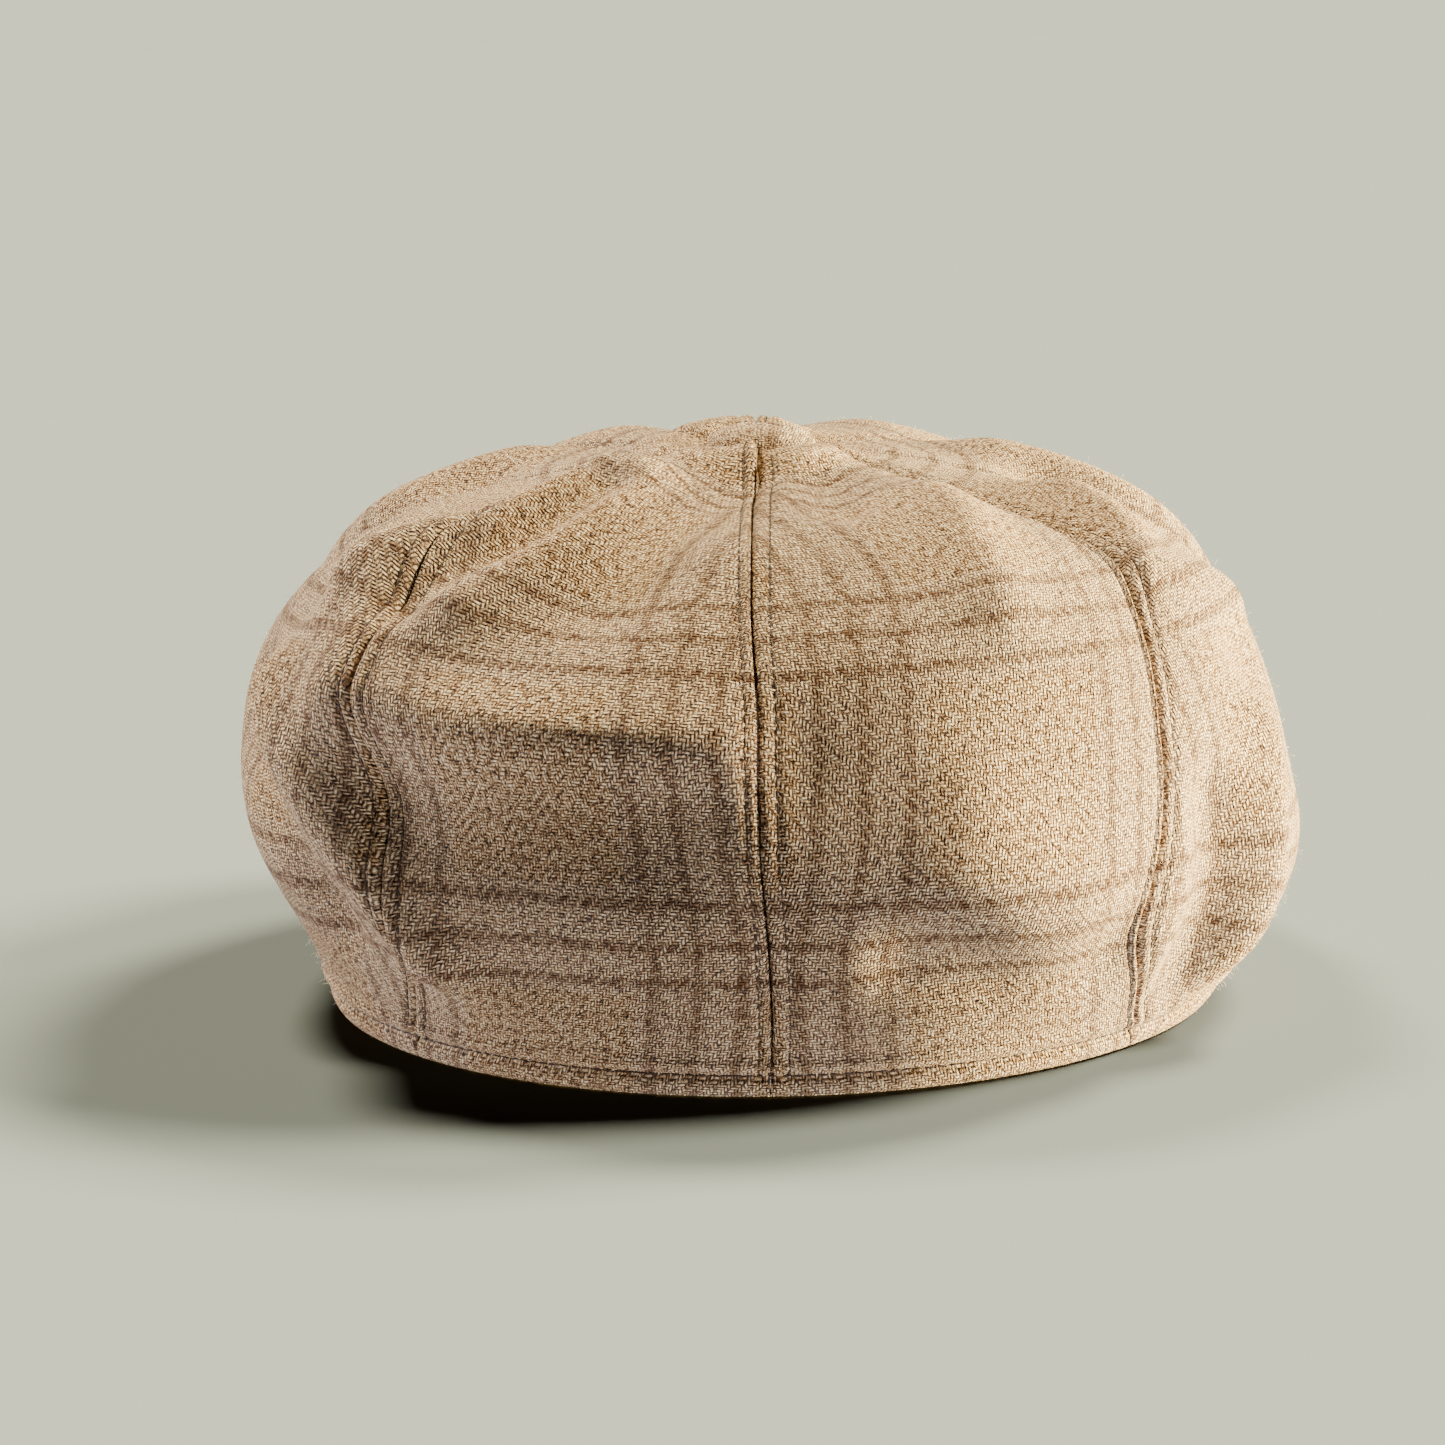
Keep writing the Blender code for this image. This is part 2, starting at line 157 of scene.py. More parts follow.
# Grid of a crown panel: columns beside a seam, columns between them, and rows up the wall.
EDGE_COLUMNS = MM * np.array((0.0, 0.25, 0.5, 0.8, 1.2, 1.6, 2.0, 2.4, 2.8, 3.2, 3.6, 4.1, 4.7, 5.5, 6.5,
                              8.0))
MIDDLE_COLUMNS = 36
PANEL_LENGTH = 0.207
WALL_ROWS = np.concatenate((np.linspace(HEM_TURN, HEM_PLY, 20)[:-1],
                            np.linspace(HEM_PLY, PANEL_LENGTH, 175)))
PLAID_OFFSET = (0.0265, 0.0385)               # panel's middle and hem, from the nearest plaid groups
LINING_COLUMNS = MM * np.array((0.0, 0.6, 1.4, 2.6, 4.5))
LINING_TOP = 0.2065
LINING_SLACK = 0.0016
LINING_CREASE = 0.0011
LINING_SEAM, LINING_SEAM_WIDTH = 0.0008, 0.0009

# Flat sizes that the cloths were cut from.
TAB_FLAT = (0.014, 0.012)

BANDS = (   # name, CAD node, (inset, foot, top, thickness, swell), material, slot
    ("stay_tape", "hem_stay_tape", (0.0034, 0.0012, 0.0086, 0.0006, 0.0), "tape", "stay_tape"),
    ("sweatband_ribbon", "sweatband", (0.0045, 0.0012, 0.0322, 0.0012, 0.0005), "band", "sweatband_twill"),
)
HARDWARE = (   # CAD node, material, slot
    ("peak_board", "board", "peak_board"), ("button_shell", "metal", "button_metal"),
    ("button_back", "metal", "button_metal"), ("button_washer", "washer", "washer_plastic"))
LABEL_HALF_ANGLE = math.radians(13)
LABEL_FOOT, LABEL_TOP = 0.0524, 0.0735        # from the hem, along the crown
LABEL_CLEAR = 0.0012                          # label off the lining
LABEL_SAG = 0.0004
LABEL_CLOTH = 0.0004
LABEL_RADIUS = 0.115
LABEL_FLATNESS = 0.6                          # share of the crown's folds that the label follows
LABEL_STITCH_ANGLE = math.radians(0.6)        # label's edges to its stitching
LABEL_STITCH_INSET = 0.001
LABEL_STITCH_LIFT = 0.0006
TAB_AZIMUTH = math.radians(28)
TAB_INSET = 0.0016                            # tab's face off the sweatband's outer face
TAB_MIDDLE_INSET = 0.0017                     # where the tab's width is measured

BUTTON_CLOTH = 0.0009
BUTTON_CLEAR = 0.0002
BUTTON_PLEATS, BUTTON_PLEAT_DEPTH = 11, 0.010
BUTTON_TUCK, BUTTON_TUCK_DROP = 0.0026, 0.0009
BUTTON_SKIN = 0.0155                          # pole to rim along the dome
BUTTON_UV = (0.011, 0.013)                    # the pole on the plaid
FIBRE_FIELD = 0.108                           # area that the fibres' count is for, in square metres
FIBRE_FIRST_ROW = 18                          # grid row where the fibres start, clear of the floor

# The crown's sideways slump: (height in mm, share of the lean).
SLUMP = ((0, -0.15), (6, -0.55), (14, -1.25), (22, -1.4), (32, -1.0), (52, 0.3), (70, 0.8), (90, 0.5),
         (110, 0.25))

# Where each seam wanders off its straight line: (mm from the hem, degrees).
SEAM_DRIFT = {
    0: ((0, 0.2), (8, 1.2), (22, 2.3), (35, 1.6), (60, 0.0), (80, -0.6), (110, 0.6), (160, 1.0), (215, 0.0)),
    1: ((0, 2.0), (12, 1.5), (22, -1.5), (38, -6.5), (57, -6.0), (76, -5.0), (97, -3.0), (120, -0.5),
        (160, 0.0), (215, 0.0)),
    2: ((0, 0.0), (50, 2.0), (100, -1.5), (215, 0.0)),
    3: ((0, 0.0), (60, -1.5), (120, 1.0), (215, 0.0)),
    4: ((0, 0.0), (70, 0.8), (140, -0.8), (215, 0.0)),
    5: ((0, 0.0), (60, 1.5), (120, -1.0), (215, 0.0)),
    6: ((0, 0.0), (50, -2.0), (100, 1.5), (215, 0.0)),
    7: ((0, -2.5), (12, 3.0), (26, 7.5), (38, 8.5), (48, 5.0), (57, 2.6), (72, 1.0), (92, -1.8), (118, -8.0),
        (140, -7.0), (165, -3.5), (215, 0.0)),
}

# Soft ridges and hollows of the worn crown: path of (degrees, mm from the hem), half width in mm,
# height in mm and sharpness (2 is round, less is a crisper crest).
FOLD_DEPTH = 1.7                              # scale of all the heights
FOLD_CREST = 0.22                             # rounding of a crest, as a share of the half width
FOLDS = (
    (((37, 158), (42, 130), (52, 108)), 7, 3.4, 1.5),
    (((25, 165), (27, 128), (33, 106)), 8, 3.0, 1.5),
    (((31, 150), (34, 124), (41, 104)), 6, -2.6, 2.0),
    (((10, 172), (13, 140), (18, 112)), 9, -2.0, 2.0),
    (((46, 100),), 18, 4.4, 2.0),
    (((75, 156), (110, 154)), 20, -1.2, 2.0),
    (((-60, 150), (-100, 152)), 20, -1.6, 2.0),
    (((44, 82), (30, 80), (15, 79), (3, 78)), 8, 3.4, 1.4),
    (((36, 62), (22, 60), (8, 62)), 12, -3.0, 2.0),
    (((58, 80), (47, 62), (41, 48), (37, 32)), 8, 4.0, 1.5),
    (((70, 66), (60, 52), (54, 36)), 8, -3.0, 2.0),
    (((77, 74),), 12, -3.4, 2.0),
    (((-68, 80),), 9, -1.8, 2.0),
    (((-64, 68), (-60, 48), (-55, 18)), 7, 2.8, 1.5),
    (((-51, 56), (-49, 40), (-47, 18)), 7, -2.6, 2.0),
    (((-72, 134), (-56, 108), (-72, 94)), 8, 2.4, 1.6),
    (((4, 130),), 9, 1.4, 2.0),
    (((3, 58),), 8, 1.2, 2.0),
    (((-3, 76),), 9, -1.6, 2.0),
    (((-19, 56), (-27, 40)), 12, 1.8, 2.0),
    (((-12, 33), (-21, 29), (-32, 30)), 8, -1.8, 2.0),
    (((9, 165), (4, 178)), 6, -1.2, 2.0),
    (((-19, 172), (-14, 150)), 6, -1.8, 2.0),
    (((-38, 150), (-30, 128), (-28, 108)), 8, 1.6, 1.7),
    (((-48, 190), (-12, 187)), 7, 2.0, 2.0),
    (((135, 188), (180, 186), (-135, 188)), 8, 2.0, 2.0),
    (((120, 140), (112, 124), (118, 96)), 10, 2.4, 1.8),
    (((104, 140), (100, 112), (104, 84)), 9, -2.2, 2.0),
    (((-118, 142), (-108, 120), (-112, 92)), 10, 2.2, 1.8),
    (((-98, 136), (-94, 104), (-98, 78)), 9, -2.2, 2.0),
    (((150, 144), (146, 120), (152, 84)), 12, 1.8, 1.9),
    (((-158, 144), (-150, 118), (-156, 80)), 12, 1.8, 1.9),
    (((172, 150), (176, 110), (172, 76)), 9, -1.6, 2.0),
    (((128, 40), (144, 34), (160, 40)), 10, 1.8, 2.0),
    (((-126, 42), (-142, 34), (-158, 38)), 10, 1.8, 2.0),
)

# Stage.
BACKDROP = (1.037, 1.072, 0.772)
CAMERA_TURN = (math.radians(0.597), math.radians(0.14), math.radians(-0.93))
LAMPS = (   # name, direction towards the lamp, strength, spread in degrees, tint, what it lights
    ("floor_right_rear", (-0.62, -0.58, 1.00), 50.4, 16, (1.0, 1.0, 1.0), "floor"),
    ("floor_right", (-0.96, -0.08, 0.90), 58.0, 18, (1.0, 1.0, 1.0), "floor"),
    ("floor_rear", (0.34, -0.50, 1.00), 31.6, 14, (1.0, 1.0, 1.0), "floor"),
    ("key_right", (-0.74, 0.00, 0.60), 11.0, 11, (1.0, 0.92, 0.74), "cap"),
    ("rim_right", (-1.00, -0.31, -0.08), 52.0, 16, (1.0, 0.88, 0.52), "cap"),
    ("top_left", (0.50, -0.42, 0.70), 8.0, 18, (1.0, 0.92, 0.74), "cap"),
    ("fill_left", (1.00, -0.36, 0.06), 11.0, 28, (0.84, 0.84, 1.0), "cap"),
    ("fill_front", (-0.20, 1.00, 0.05), 0.4, 60, (0.76, 0.82, 1.0), "cap"),
    ("bounce", (-0.34, 0.50, -0.80), 5.0, 60, (0.86, 0.86, 1.0), "cap"),
)
CAMERA_TARGET_HEIGHT = 0.055
AMBIENT, AMBIENT_STRENGTH = (1.0, 0.98, 0.95), 0.004
FLOOR_REACH = 60.0


# Numbers that a user would change ----------------------------------------------------------------
def length_setting(name, description, default, largest=0.3):
    return FloatProperty(name=name, description=description, default=default, min=0.0, max=largest,
                         unit="LENGTH", precision=5)


def colour_setting(name, description, default):
    return FloatVectorProperty(name=name, description=description, default=default, size=3,
                               min=0.0, max=1.0, subtype="COLOR")


class CAP_ShapeSettings(bpy.types.PropertyGroup):
    lean: length_setting("Lean", "How far the crown slumps sideways", 0.0032)
    puff: length_setting("Panel puff", "How far the panels stand out from their seams", 0.0016)
    groove: length_setting("Seam groove", "Depth of the seams", 0.0009)
    pad: length_setting("Seam pad", "Rise of the cloth over the seam allowances", 0.00025)
    stitch_dip: length_setting("Stitch dip", "Depth of the channel that topstitching pulls", 0.00035)


class CAP_TweedSettings(bpy.types.PropertyGroup):
    pitch: length_setting("Yarn pitch", "Distance between neighbouring yarns", 0.00068)
    repeat: length_setting("Plaid repeat", "Distance between groups of plaid lines", 0.0635)
    spacing: length_setting("Line spacing", "Distance between the lines of a group", 0.0087)
    line: length_setting("Line width", "Width of a plaid line", 0.0022)
    pale: colour_setting("Pale", "Lightest fleck", (1.0, 0.76, 0.42))
    cream: colour_setting("Cream", "Light fleck", (0.80, 0.48, 0.20))
    tan: colour_setting("Tan", "Main yarn", (0.50, 0.27, 0.100))
    ochre: colour_setting("Ochre", "Warm fleck", (0.36, 0.165, 0.045))
    grey: colour_setting("Grey", "Cool fleck", (0.15, 0.10, 0.055))
    brown: colour_setting("Brown", "Dark fleck", (0.035, 0.018, 0.008))
    rust: colour_setting("Rust", "Plaid lines", (0.13, 0.048, 0.012))


class CAP_StitchSettings(bpy.types.PropertyGroup):
    length: length_setting("Stitch length", "Pitch of the topstitching", 0.0024)
    thread: length_setting("Thread radius", "Radius of the sewing thread", 0.00021)
    thread_colour: colour_setting("Thread", "Topstitching thread", (0.030, 0.017, 0.010))


class CAP_FibreSettings(bpy.types.PropertyGroup):
    count: IntProperty(name="Fibres", description="Loose wool fibres on the crown", default=7000, min=0)
    length: length_setting("Fibre length", "Length of a loose fibre", 0.0016)
    radius: length_setting("Fibre radius", "Radius of a loose fibre", 0.000022)


class CAP_StageSettings(bpy.types.PropertyGroup):
    distance: length_setting("Camera distance", "Camera to the middle of the crown", 0.90, 5.0)
    elevation: FloatProperty(name="Elevation", description="Camera above the horizon",
                             default=math.radians(9.8), subtype="ANGLE")
    lens: FloatProperty(name="Lens", description="Focal length in millimetres", default=102.3, min=1.0)
    floor: colour_setting("Floor", "Floor and backdrop", (0.0312, 0.0322, 0.0232))


SETTINGS = {
    "cap_shape": CAP_ShapeSettings, "cap_tweed": CAP_TweedSettings, "cap_stitch": CAP_StitchSettings,
    "cap_fibre": CAP_FibreSettings, "cap_stage": CAP_StageSettings,
}


# Shader maths ------------------------------------------------------------------------------------
class Wire:
    """A node's output socket that Python's operators work on."""

    def __init__(self, tree, socket=None):
        self.tree = tree
        self.socket = socket

    def node(self, kind, settings=None, inputs=None, output=0):
        """Add a node: its settings first, then its sockets' values or links."""
        made = self.tree.nodes.new(kind)
        for key, value in (settings or {}).items():
            if key == "stops":
                ramp = made.color_ramp.elements
                while len(ramp) < len(value):
                    ramp.new(0.5)
                for element, (position, colour) in zip(ramp, value):
                    element.position = position
                    element.color = (*colour, 1.0)
            else:
                setattr(made, key, value)
        for key, value in (inputs or {}).items():
            if isinstance(value, Wire):
                self.tree.links.new(value.socket, made.inputs[key])
            else:
                made.inputs[key].default_value = value
        return Wire(self.tree, made.outputs[output])

    def part(self, name):
        """Another output of the same node."""
        return Wire(self.tree, self.socket.node.outputs[name])

    def maths(self, operation, *values):
        return self.node("ShaderNodeMath", {"operation": operation}, dict(enumerate((self, *values))))

    def __add__(self, other):
        return self.maths("ADD", other)

    def __mul__(self, other):
        return self.maths("MULTIPLY", other)

    __radd__ = __add__
    __rmul__ = __mul__

    def __sub__(self, other):
        return self.maths("SUBTRACT", other)

    def __rsub__(self, other):
        return (self * -1) + other

    def __truediv__(self, other):
        return self.maths("DIVIDE", other)

    def __lt__(self, other):
        return self.maths("LESS_THAN", other)

    def __abs__(self):
        return self.maths("ABSOLUTE")

    def __pow__(self, other):
        return self.maths("POWER", other)

    def floor(self):
        return self.maths("FLOOR")

    def modulo(self, other):
        return self.maths("FLOORED_MODULO", other)

    def fall(self, near, far):
        """1 below near, 0 above far, smooth between."""
        return self.node("ShaderNodeMapRange", {"interpolation_type": "SMOOTHSTEP"},
                         {"Value": self, "From Min": near, "From Max": far, "To Min": 1.0, "To Max": 0.0})

    def mix(self, other, factor, blend="MIX"):
        """This colour with another laid over it by a factor."""
        return self.node("ShaderNodeMix", {"data_type": "RGBA", "blend_type": blend},
                         {0: factor, 6: self, 7: other}, 2)

    def ramp(self, *stops):
        return self.node("ShaderNodeValToRGB", {"stops": stops}, {0: self})

    def cloth(self):
        """The piece's UV map, which is in metres on the flat cloth."""
        return self.node("ShaderNodeUVMap", {"uv_map": "cloth"})

    def place(self):
        """The point on the object, in metres."""
        return self.node("ShaderNodeTexCoord").part("Object")

    def split(self):
        """The X and Y of these coordinates."""
        parts = self.node("ShaderNodeSeparateXYZ", None, {0: self})
        return parts.part("X"), parts.part("Y")

    def noise(self, scale, detail=2.0, roughness=0.5):
        """Noise at these coordinates."""
        return self.node("ShaderNodeTexNoise", None,
                         {"Vector": self, "Scale": scale, "Detail": detail, "Roughness": roughness})


def vector(x, y, z=0.0):
    """A vector of three wires or values."""
    return x.node("ShaderNodeCombineXYZ", None, {0: x, 1: y, 2: z})


def colour(values):
    """An opaque colour from its red, green and blue."""
    return (*values, 1.0)


def new_material(name, roughness, **constants):
    """A Principled material: its start wire and its shader node, with the constant sockets set."""
    material = bpy.data.materials.new(name)
    material.use_nodes = True
    tree = material.node_tree
    shader = tree.nodes["Principled BSDF"]
    shader.inputs["Roughness"].default_value = roughness
    for key, value in constants.items():
        shader.inputs[key.replace("_", " ")].default_value = value
    return material, Wire(tree), shader


def attach(shader, base=None, height=None, distance=0.0, strength=1.0, roughness=None, metallic=None):
    """Link the varying colour, roughness and bump to the shader."""
    tree = shader.id_data
    for name, wire in (("Base Color", base), ("Roughness", roughness), ("Metallic", metallic)):
        if wire is not None:
            tree.links.new(wire.socket, shader.inputs[name])
    if height is not None:
        bump = height.node("ShaderNodeBump", None,
                           {"Height": height, "Distance": distance, "Strength": strength})
        tree.links.new(bump.socket, shader.inputs["Normal"])


MATERIALS = {}


def material(name):
    """A material by its name, made once."""
    if name not in MATERIALS:
        MATERIALS[name] = MATERIAL_MAKERS[name]()
    return MATERIALS[name]


def tweed_material():
    """Two-and-two twill of flecked wool yarns with a triple-line plaid, in metres on the cloth's UVs."""
    look = bpy.context.scene.cap_tweed
    made, start, shader = new_material("plaid_tweed", 0.95, Sheen_Weight=0.03, Sheen_Roughness=0.40,
                                       Sheen_Tint=(1.0, 0.90, 0.84, 1.0), Specular_IOR_Level=0.15)
    uv = start.cloth()
    across, along = uv.split()
    drift = 0.0011
    across = across + (uv.noise(260.0, 1.0) - 0.5) * drift
    along = along + (uv.noise(210.0, 1.0) - 0.5) * drift
    x, y = across / look.pitch, along / look.pitch
    warp, weft = x.floor(), y.floor()
    in_x, in_y = x - warp, y - weft
    phase = (warp + weft).modulo(4.0)
    warp_up = phase < 1.5
    run = warp_up * (phase + in_y) + (1 - warp_up) * (phase - 2.0 + in_x)
    side = warp_up * in_x + (1 - warp_up) * in_y
    crown = (run * (math.pi / 2)).maths("SINE").maths("MAXIMUM", 0.0)
    round_over = 1 - (side * 2 - 1) ** 2
    height = (crown * 0.55 + 0.45) * round_over

    float_x = warp - (1 - warp_up) * (phase - 2.0)
    float_y = weft - warp_up * phase
    fleck = vector(float_x, float_y, warp_up).node("ShaderNodeTexWhiteNoise", {"noise_dimensions": "3D"})
    fleck = fleck.part("Value")
    turned = vector(across + along, (along - across) * 0.45)
    fibres = turned.noise(2600.0, 2.0, 0.65)
    clumps = turned.noise(820.0, 2.0, 0.6)
    tone = (fleck - 0.5) * 2.1 + (fibres - 0.5) * 3.6 + (clumps - 0.5) * 3.0 + 0.47
    base = tone.ramp((0.0, look.brown), (0.26, look.grey), (0.42, look.ochre), (0.58, look.tan),
                     (0.78, look.cream), (1.0, look.pale))

    directions = []
    for place, weight, yarns in ((along, 1.0, 1 - warp_up), (across, 0.85, warp_up)):
        period = (place + look.repeat / 2).modulo(look.repeat) - look.repeat / 2
        near = (period + look.spacing / 2).modulo(look.spacing) - look.spacing / 2
        group = abs(period).fall(look.spacing * 1.35, look.spacing * 1.45)
        line = abs(near).fall(look.line * 0.32, look.line * 0.72) * group
        directions.append((line * (yarns * 0.50 + 0.50) * weight, group))
    (lines_along, groups_along), (lines_across, groups_across) = directions
    broken = uv.noise(330.0, 2.0).fall(0.66, 0.40)
    lines = lines_along.maths("MAXIMUM", lines_across) * (broken * 0.45 + 0.55)
    base = base.mix(colour(look.rust), lines * 0.95)
    bands = groups_along.maths("MAXIMUM", groups_across)
    base = base.mix((0.80, 0.70, 0.56, 1.0), (bands - lines).maths("MAXIMUM", 0.0) * 0.10)
    cloudy = uv.noise(34.0, 3.0)
    base = base.mix((0.62, 0.56, 0.50, 1.0), cloudy.fall(0.62, 0.38) * 0.30, "MULTIPLY")
    # Painted shade: the gaps between the yarn floats are darkened by the weave's height, on top of the
    # bump's own shading.
    base = base.mix((0.07, 0.045, 0.03, 1.0), (1 - height) ** 1.3, "MULTIPLY")
    attach(shader, base, height + (fibres - 0.5) * 0.7, 0.00050, 1.0)
    return made


def lining_material():
    """Dark satin: fine warp floats, faint streaks along the cloth."""
    made, start, shader = new_material("lining_satin", 0.36, Sheen_Weight=0.25, Sheen_Roughness=0.3,
                                       Specular_IOR_Level=0.6)
    across, along = start.cloth().split()
    streaks = vector(across * 40.0, along).noise(90.0, 3.0, 0.6)
    rib_pitch = 0.00035
    ribs = (across * (2 * math.pi / rib_pitch)).maths("SINE")
    base = streaks.ramp((0.25, (0.070, 0.036, 0.022)), (0.75, (0.155, 0.085, 0.050)))
    attach(shader, base, ribs * 0.5 + streaks, 0.00006, 0.5, roughness=streaks * 0.22 + 0.26)
    return made


def band_material():
    """Dark brown cotton twill for the sweatband."""
    return ribbed_material("sweatband_twill", 0.00055, ((0.050, 0.032, 0.022), (0.125, 0.082, 0.056)), 0.82)


def tape_material():
    """Undyed cotton of the stay tape."""
    return ribbed_material("stay_tape_cotton", 0.00070, ((0.50, 0.46, 0.39), (0.72, 0.68, 0.59)), 0.92)


def label_material():
    """Plain cream weave of the blank label and tab."""
    return ribbed_material("label_woven", 0.00030, ((0.54, 0.48, 0.37), (0.74, 0.68, 0.56)), 0.55)


def ribbed_material(name, pitch, tones, roughness):
    """Diagonal ribs of a fine woven ribbon, in metres on the cloth's UVs."""
    made, start, shader = new_material(name, roughness, Sheen_Weight=0.2, Sheen_Roughness=0.5)
    uv = start.cloth()
    across, along = uv.split()
    rib = ((across + along) * (2 * math.pi / pitch)).maths("SINE") * 0.5 + 0.5
    weave = rib * abs(((along - across) * (math.pi / pitch)).maths("SINE"))
    fleck = uv.noise(1800.0, 2.0, 0.6)
    tone = weave * 0.45 + fleck * 0.65
    attach(shader, tone.ramp((0.25, tones[0]), (0.80, tones[1])), weave + fleck, pitch * 0.3, 0.7)
    return made


def thread_material():
    """Twisted polyester sewing thread."""
    look = bpy.context.scene.cap_stitch
    made, start, shader = new_material("topstitch_thread", 0.6, Specular_IOR_Level=0.2)
    twist = start.place().noise(5200.0, 1.0)
    dark = tuple(look.thread_colour)
    light = tuple(2.6 * value for value in dark)
    attach(shader, twist.ramp((0.3, dark), (0.75, light)), twist, 0.00008, 0.6)
    return made


def fibre_material():
    """Loose wool fibres: cream to brown, changing from fibre to fibre."""
    made, start, shader = new_material("loose_wool", 0.85, Sheen_Weight=0.5, Sheen_Roughness=0.4)
    tone = start.place().noise(420.0, 2.0, 0.7)
    base = tone.ramp((0.32, (0.30, 0.20, 0.12)), (0.48, (0.62, 0.48, 0.33)), (0.66, (0.88, 0.78, 0.62)))
    attach(shader, base)
    return made


def board_material():
    """Moulded stiffener board with a faint pebble."""
    made, start, shader = new_material("peak_board_plastic", 0.55)
    grain = start.place().noise(900.0, 3.0)
    attach(shader, grain.ramp((0.3, (0.64, 0.64, 0.61)), (0.7, (0.76, 0.76, 0.74))), grain, 0.0001, 0.3,
           roughness=grain * 0.3 + 0.4)
    return made


def metal_material():
    """Pressed, tumbled metal of the button's inside."""
    made, start, shader = new_material("button_metal", 0.35, Metallic=1.0)
    wear = start.place().noise(1400.0, 4.0, 0.65)
    attach(shader, wear.ramp((0.3, (0.52, 0.51, 0.49)), (0.7, (0.74, 0.74, 0.73))), wear, 0.00003, 0.4,
           roughness=wear * 0.35 + 0.2)
    return made


def washer_material():
    """Dark moulded plastic of the washer."""
    made, start, shader = new_material("washer_plastic", 0.42)
    grain = start.place().noise(1600.0, 2.0)
    attach(shader, grain.ramp((0.3, (0.035, 0.030, 0.028)), (0.7, (0.070, 0.060, 0.052))), grain,
           0.00004, 0.4, roughness=grain * 0.3 + 0.3)
    return made


def floor_material():
    """Matt paper of the floor."""
    look = bpy.context.scene.cap_stage
    made, _, shader = new_material("studio_paper", 1.0, Specular_IOR_Level=0.0)
    shader.inputs["Base Color"].default_value = colour(look.floor)
    return made


MATERIAL_MAKERS = {
    "tweed": tweed_material, "lining": lining_material, "band": band_material, "tape": tape_material,
    "label": label_material, "thread": thread_material, "fibre": fibre_material, "board": board_material,
    "metal": metal_material, "washer": washer_material, "floor": floor_material,
}


# The crown's surface -----------------------------------------------------------------------------
def smooth_step(value):
    """0 to 1 with level ends."""
    value = np.clip(value, 0.0, 1.0)
    return value * value * (3 - 2 * value)


def around(values, azimuth):
    """Blend (back, side, front) values at an azimuth."""
    cosine = np.cos(azimuth)
    back, front = np.maximum(cosine, 0.0) ** 2, np.maximum(-cosine, 0.0) ** 2
    return values[0] * back + values[1] * (1 - back - front) + values[2] * front


def hem_radius(azimuth):
    """Radius of the hem's oval."""
    return HEM_HALF_WIDTH * HEM_HALF_LENGTH / np.hypot(HEM_HALF_WIDTH * np.cos(azimuth),
                                                       HEM_HALF_LENGTH * np.sin(azimuth))


def turn_from_back(azimuth):
    """How far round from the back an azimuth is, either way."""
    return np.abs((azimuth + math.pi) % (2 * math.pi) - math.pi)


def peak_height(x, y):
    """Middle of the peak's thickness; y is measured from the crown's axis."""
    bow = 1 - np.minimum(np.abs(x) / PEAK_HALF_WIDTH, 1.0) ** 2
    ahead = np.maximum(-y - HEM_HALF_LENGTH, 0.0) / (PEAK_EDGE_Y - HEM_HALF_LENGTH)
    return PEAK_CORNER_Z + bow * (PEAK_BOW - PEAK_DROOP * ahead)


def hem_height(azimuth):
    """Height of the hem's edge: on the ground at the back and sides, on the peak at the front."""
    radius = hem_radius(azimuth)
    on_peak = peak_height(radius * np.sin(azimuth), radius * np.cos(azimuth)) + PEAK_SKIN[0]
    rise = (turn_from_back(azimuth) - ARCH_START) / (math.pi - PEAK_ROOT_ANGLE - ARCH_START)
    return on_peak * smooth_step(rise)


def meridian(azimuth, samples):
    """The crown's outer line from hem to apex as (radius, height), evenly spaced, and its length."""
    foot, rise = hem_radius(azimuth), hem_height(azimuth)
    widest = foot + around(OVERHANG, azimuth)
    waist = around(BULGE_HEIGHT, azimuth)
    top = CROWN_HEIGHT + around((0.0, 0.0, FRONT_RISE), azimuth)
    climb = np.linspace(0.0, 1.0, 3 * samples)
    lean = np.sin(climb ** around(WALL_UPRIGHT, azimuth) * math.pi / 2)
    lower = np.column_stack((foot + (widest - foot) * lean, rise + (waist - rise) * climb))
    angle = climb[1:] * math.pi / 2
    power = 2 / around(CROWN_FULLNESS, azimuth)
    upper = np.column_stack((widest * np.maximum(np.cos(angle), 0.0) ** power,
                             waist + (top - waist) * np.sin(angle) ** power))
    line = np.vstack((lower, upper))
    line[:, 1] -= (BUTTON_DIMPLE + top - CROWN_HEIGHT) * np.exp(-(line[:, 0] / DIMPLE_RADIUS) ** 2)
    length = np.concatenate(([0.0], np.cumsum(np.hypot(*np.diff(line, axis=0).T))))
    even = np.linspace(0.0, length[-1], samples)
    return np.column_stack([np.interp(even, length, line[:, axis]) for axis in (0, 1)]), length[-1]


def fold_height(azimuth, along, radius):
    """Sum of the crown's folds at azimuths, distances from the hem and radii, in metres."""
    total = np.zeros(np.broadcast(azimuth, along).shape)
    for path, half_width, height, sharpness in FOLDS:
        points = [(math.radians(degrees), mm * MM) for degrees, mm in path]
        ends = list(zip(points[:-1], points[1:])) or [(points[0], points[0])]
        nearest = np.full(total.shape, 1e9)
        for (azimuth_a, along_a), (azimuth_b, along_b) in ends:
            turn = (azimuth - azimuth_a + math.pi) % (2 * math.pi) - math.pi
            x, y = turn * radius, along - along_a
            run_x, run_y = (azimuth_b - azimuth_a) * radius, along_b - along_a
            share = np.clip((x * run_x + y * run_y) / np.maximum(run_x ** 2 + run_y ** 2, 1e-12), 0.0, 1.0)
            nearest = np.minimum(nearest, np.hypot(x - share * run_x, y - share * run_y))
        crest = FOLD_CREST * half_width * MM
        reach = np.sqrt(nearest ** 2 + crest ** 2) - crest
        total += FOLD_DEPTH * height * MM * np.exp(-(reach / (half_width * MM)) ** sharpness)
    return total


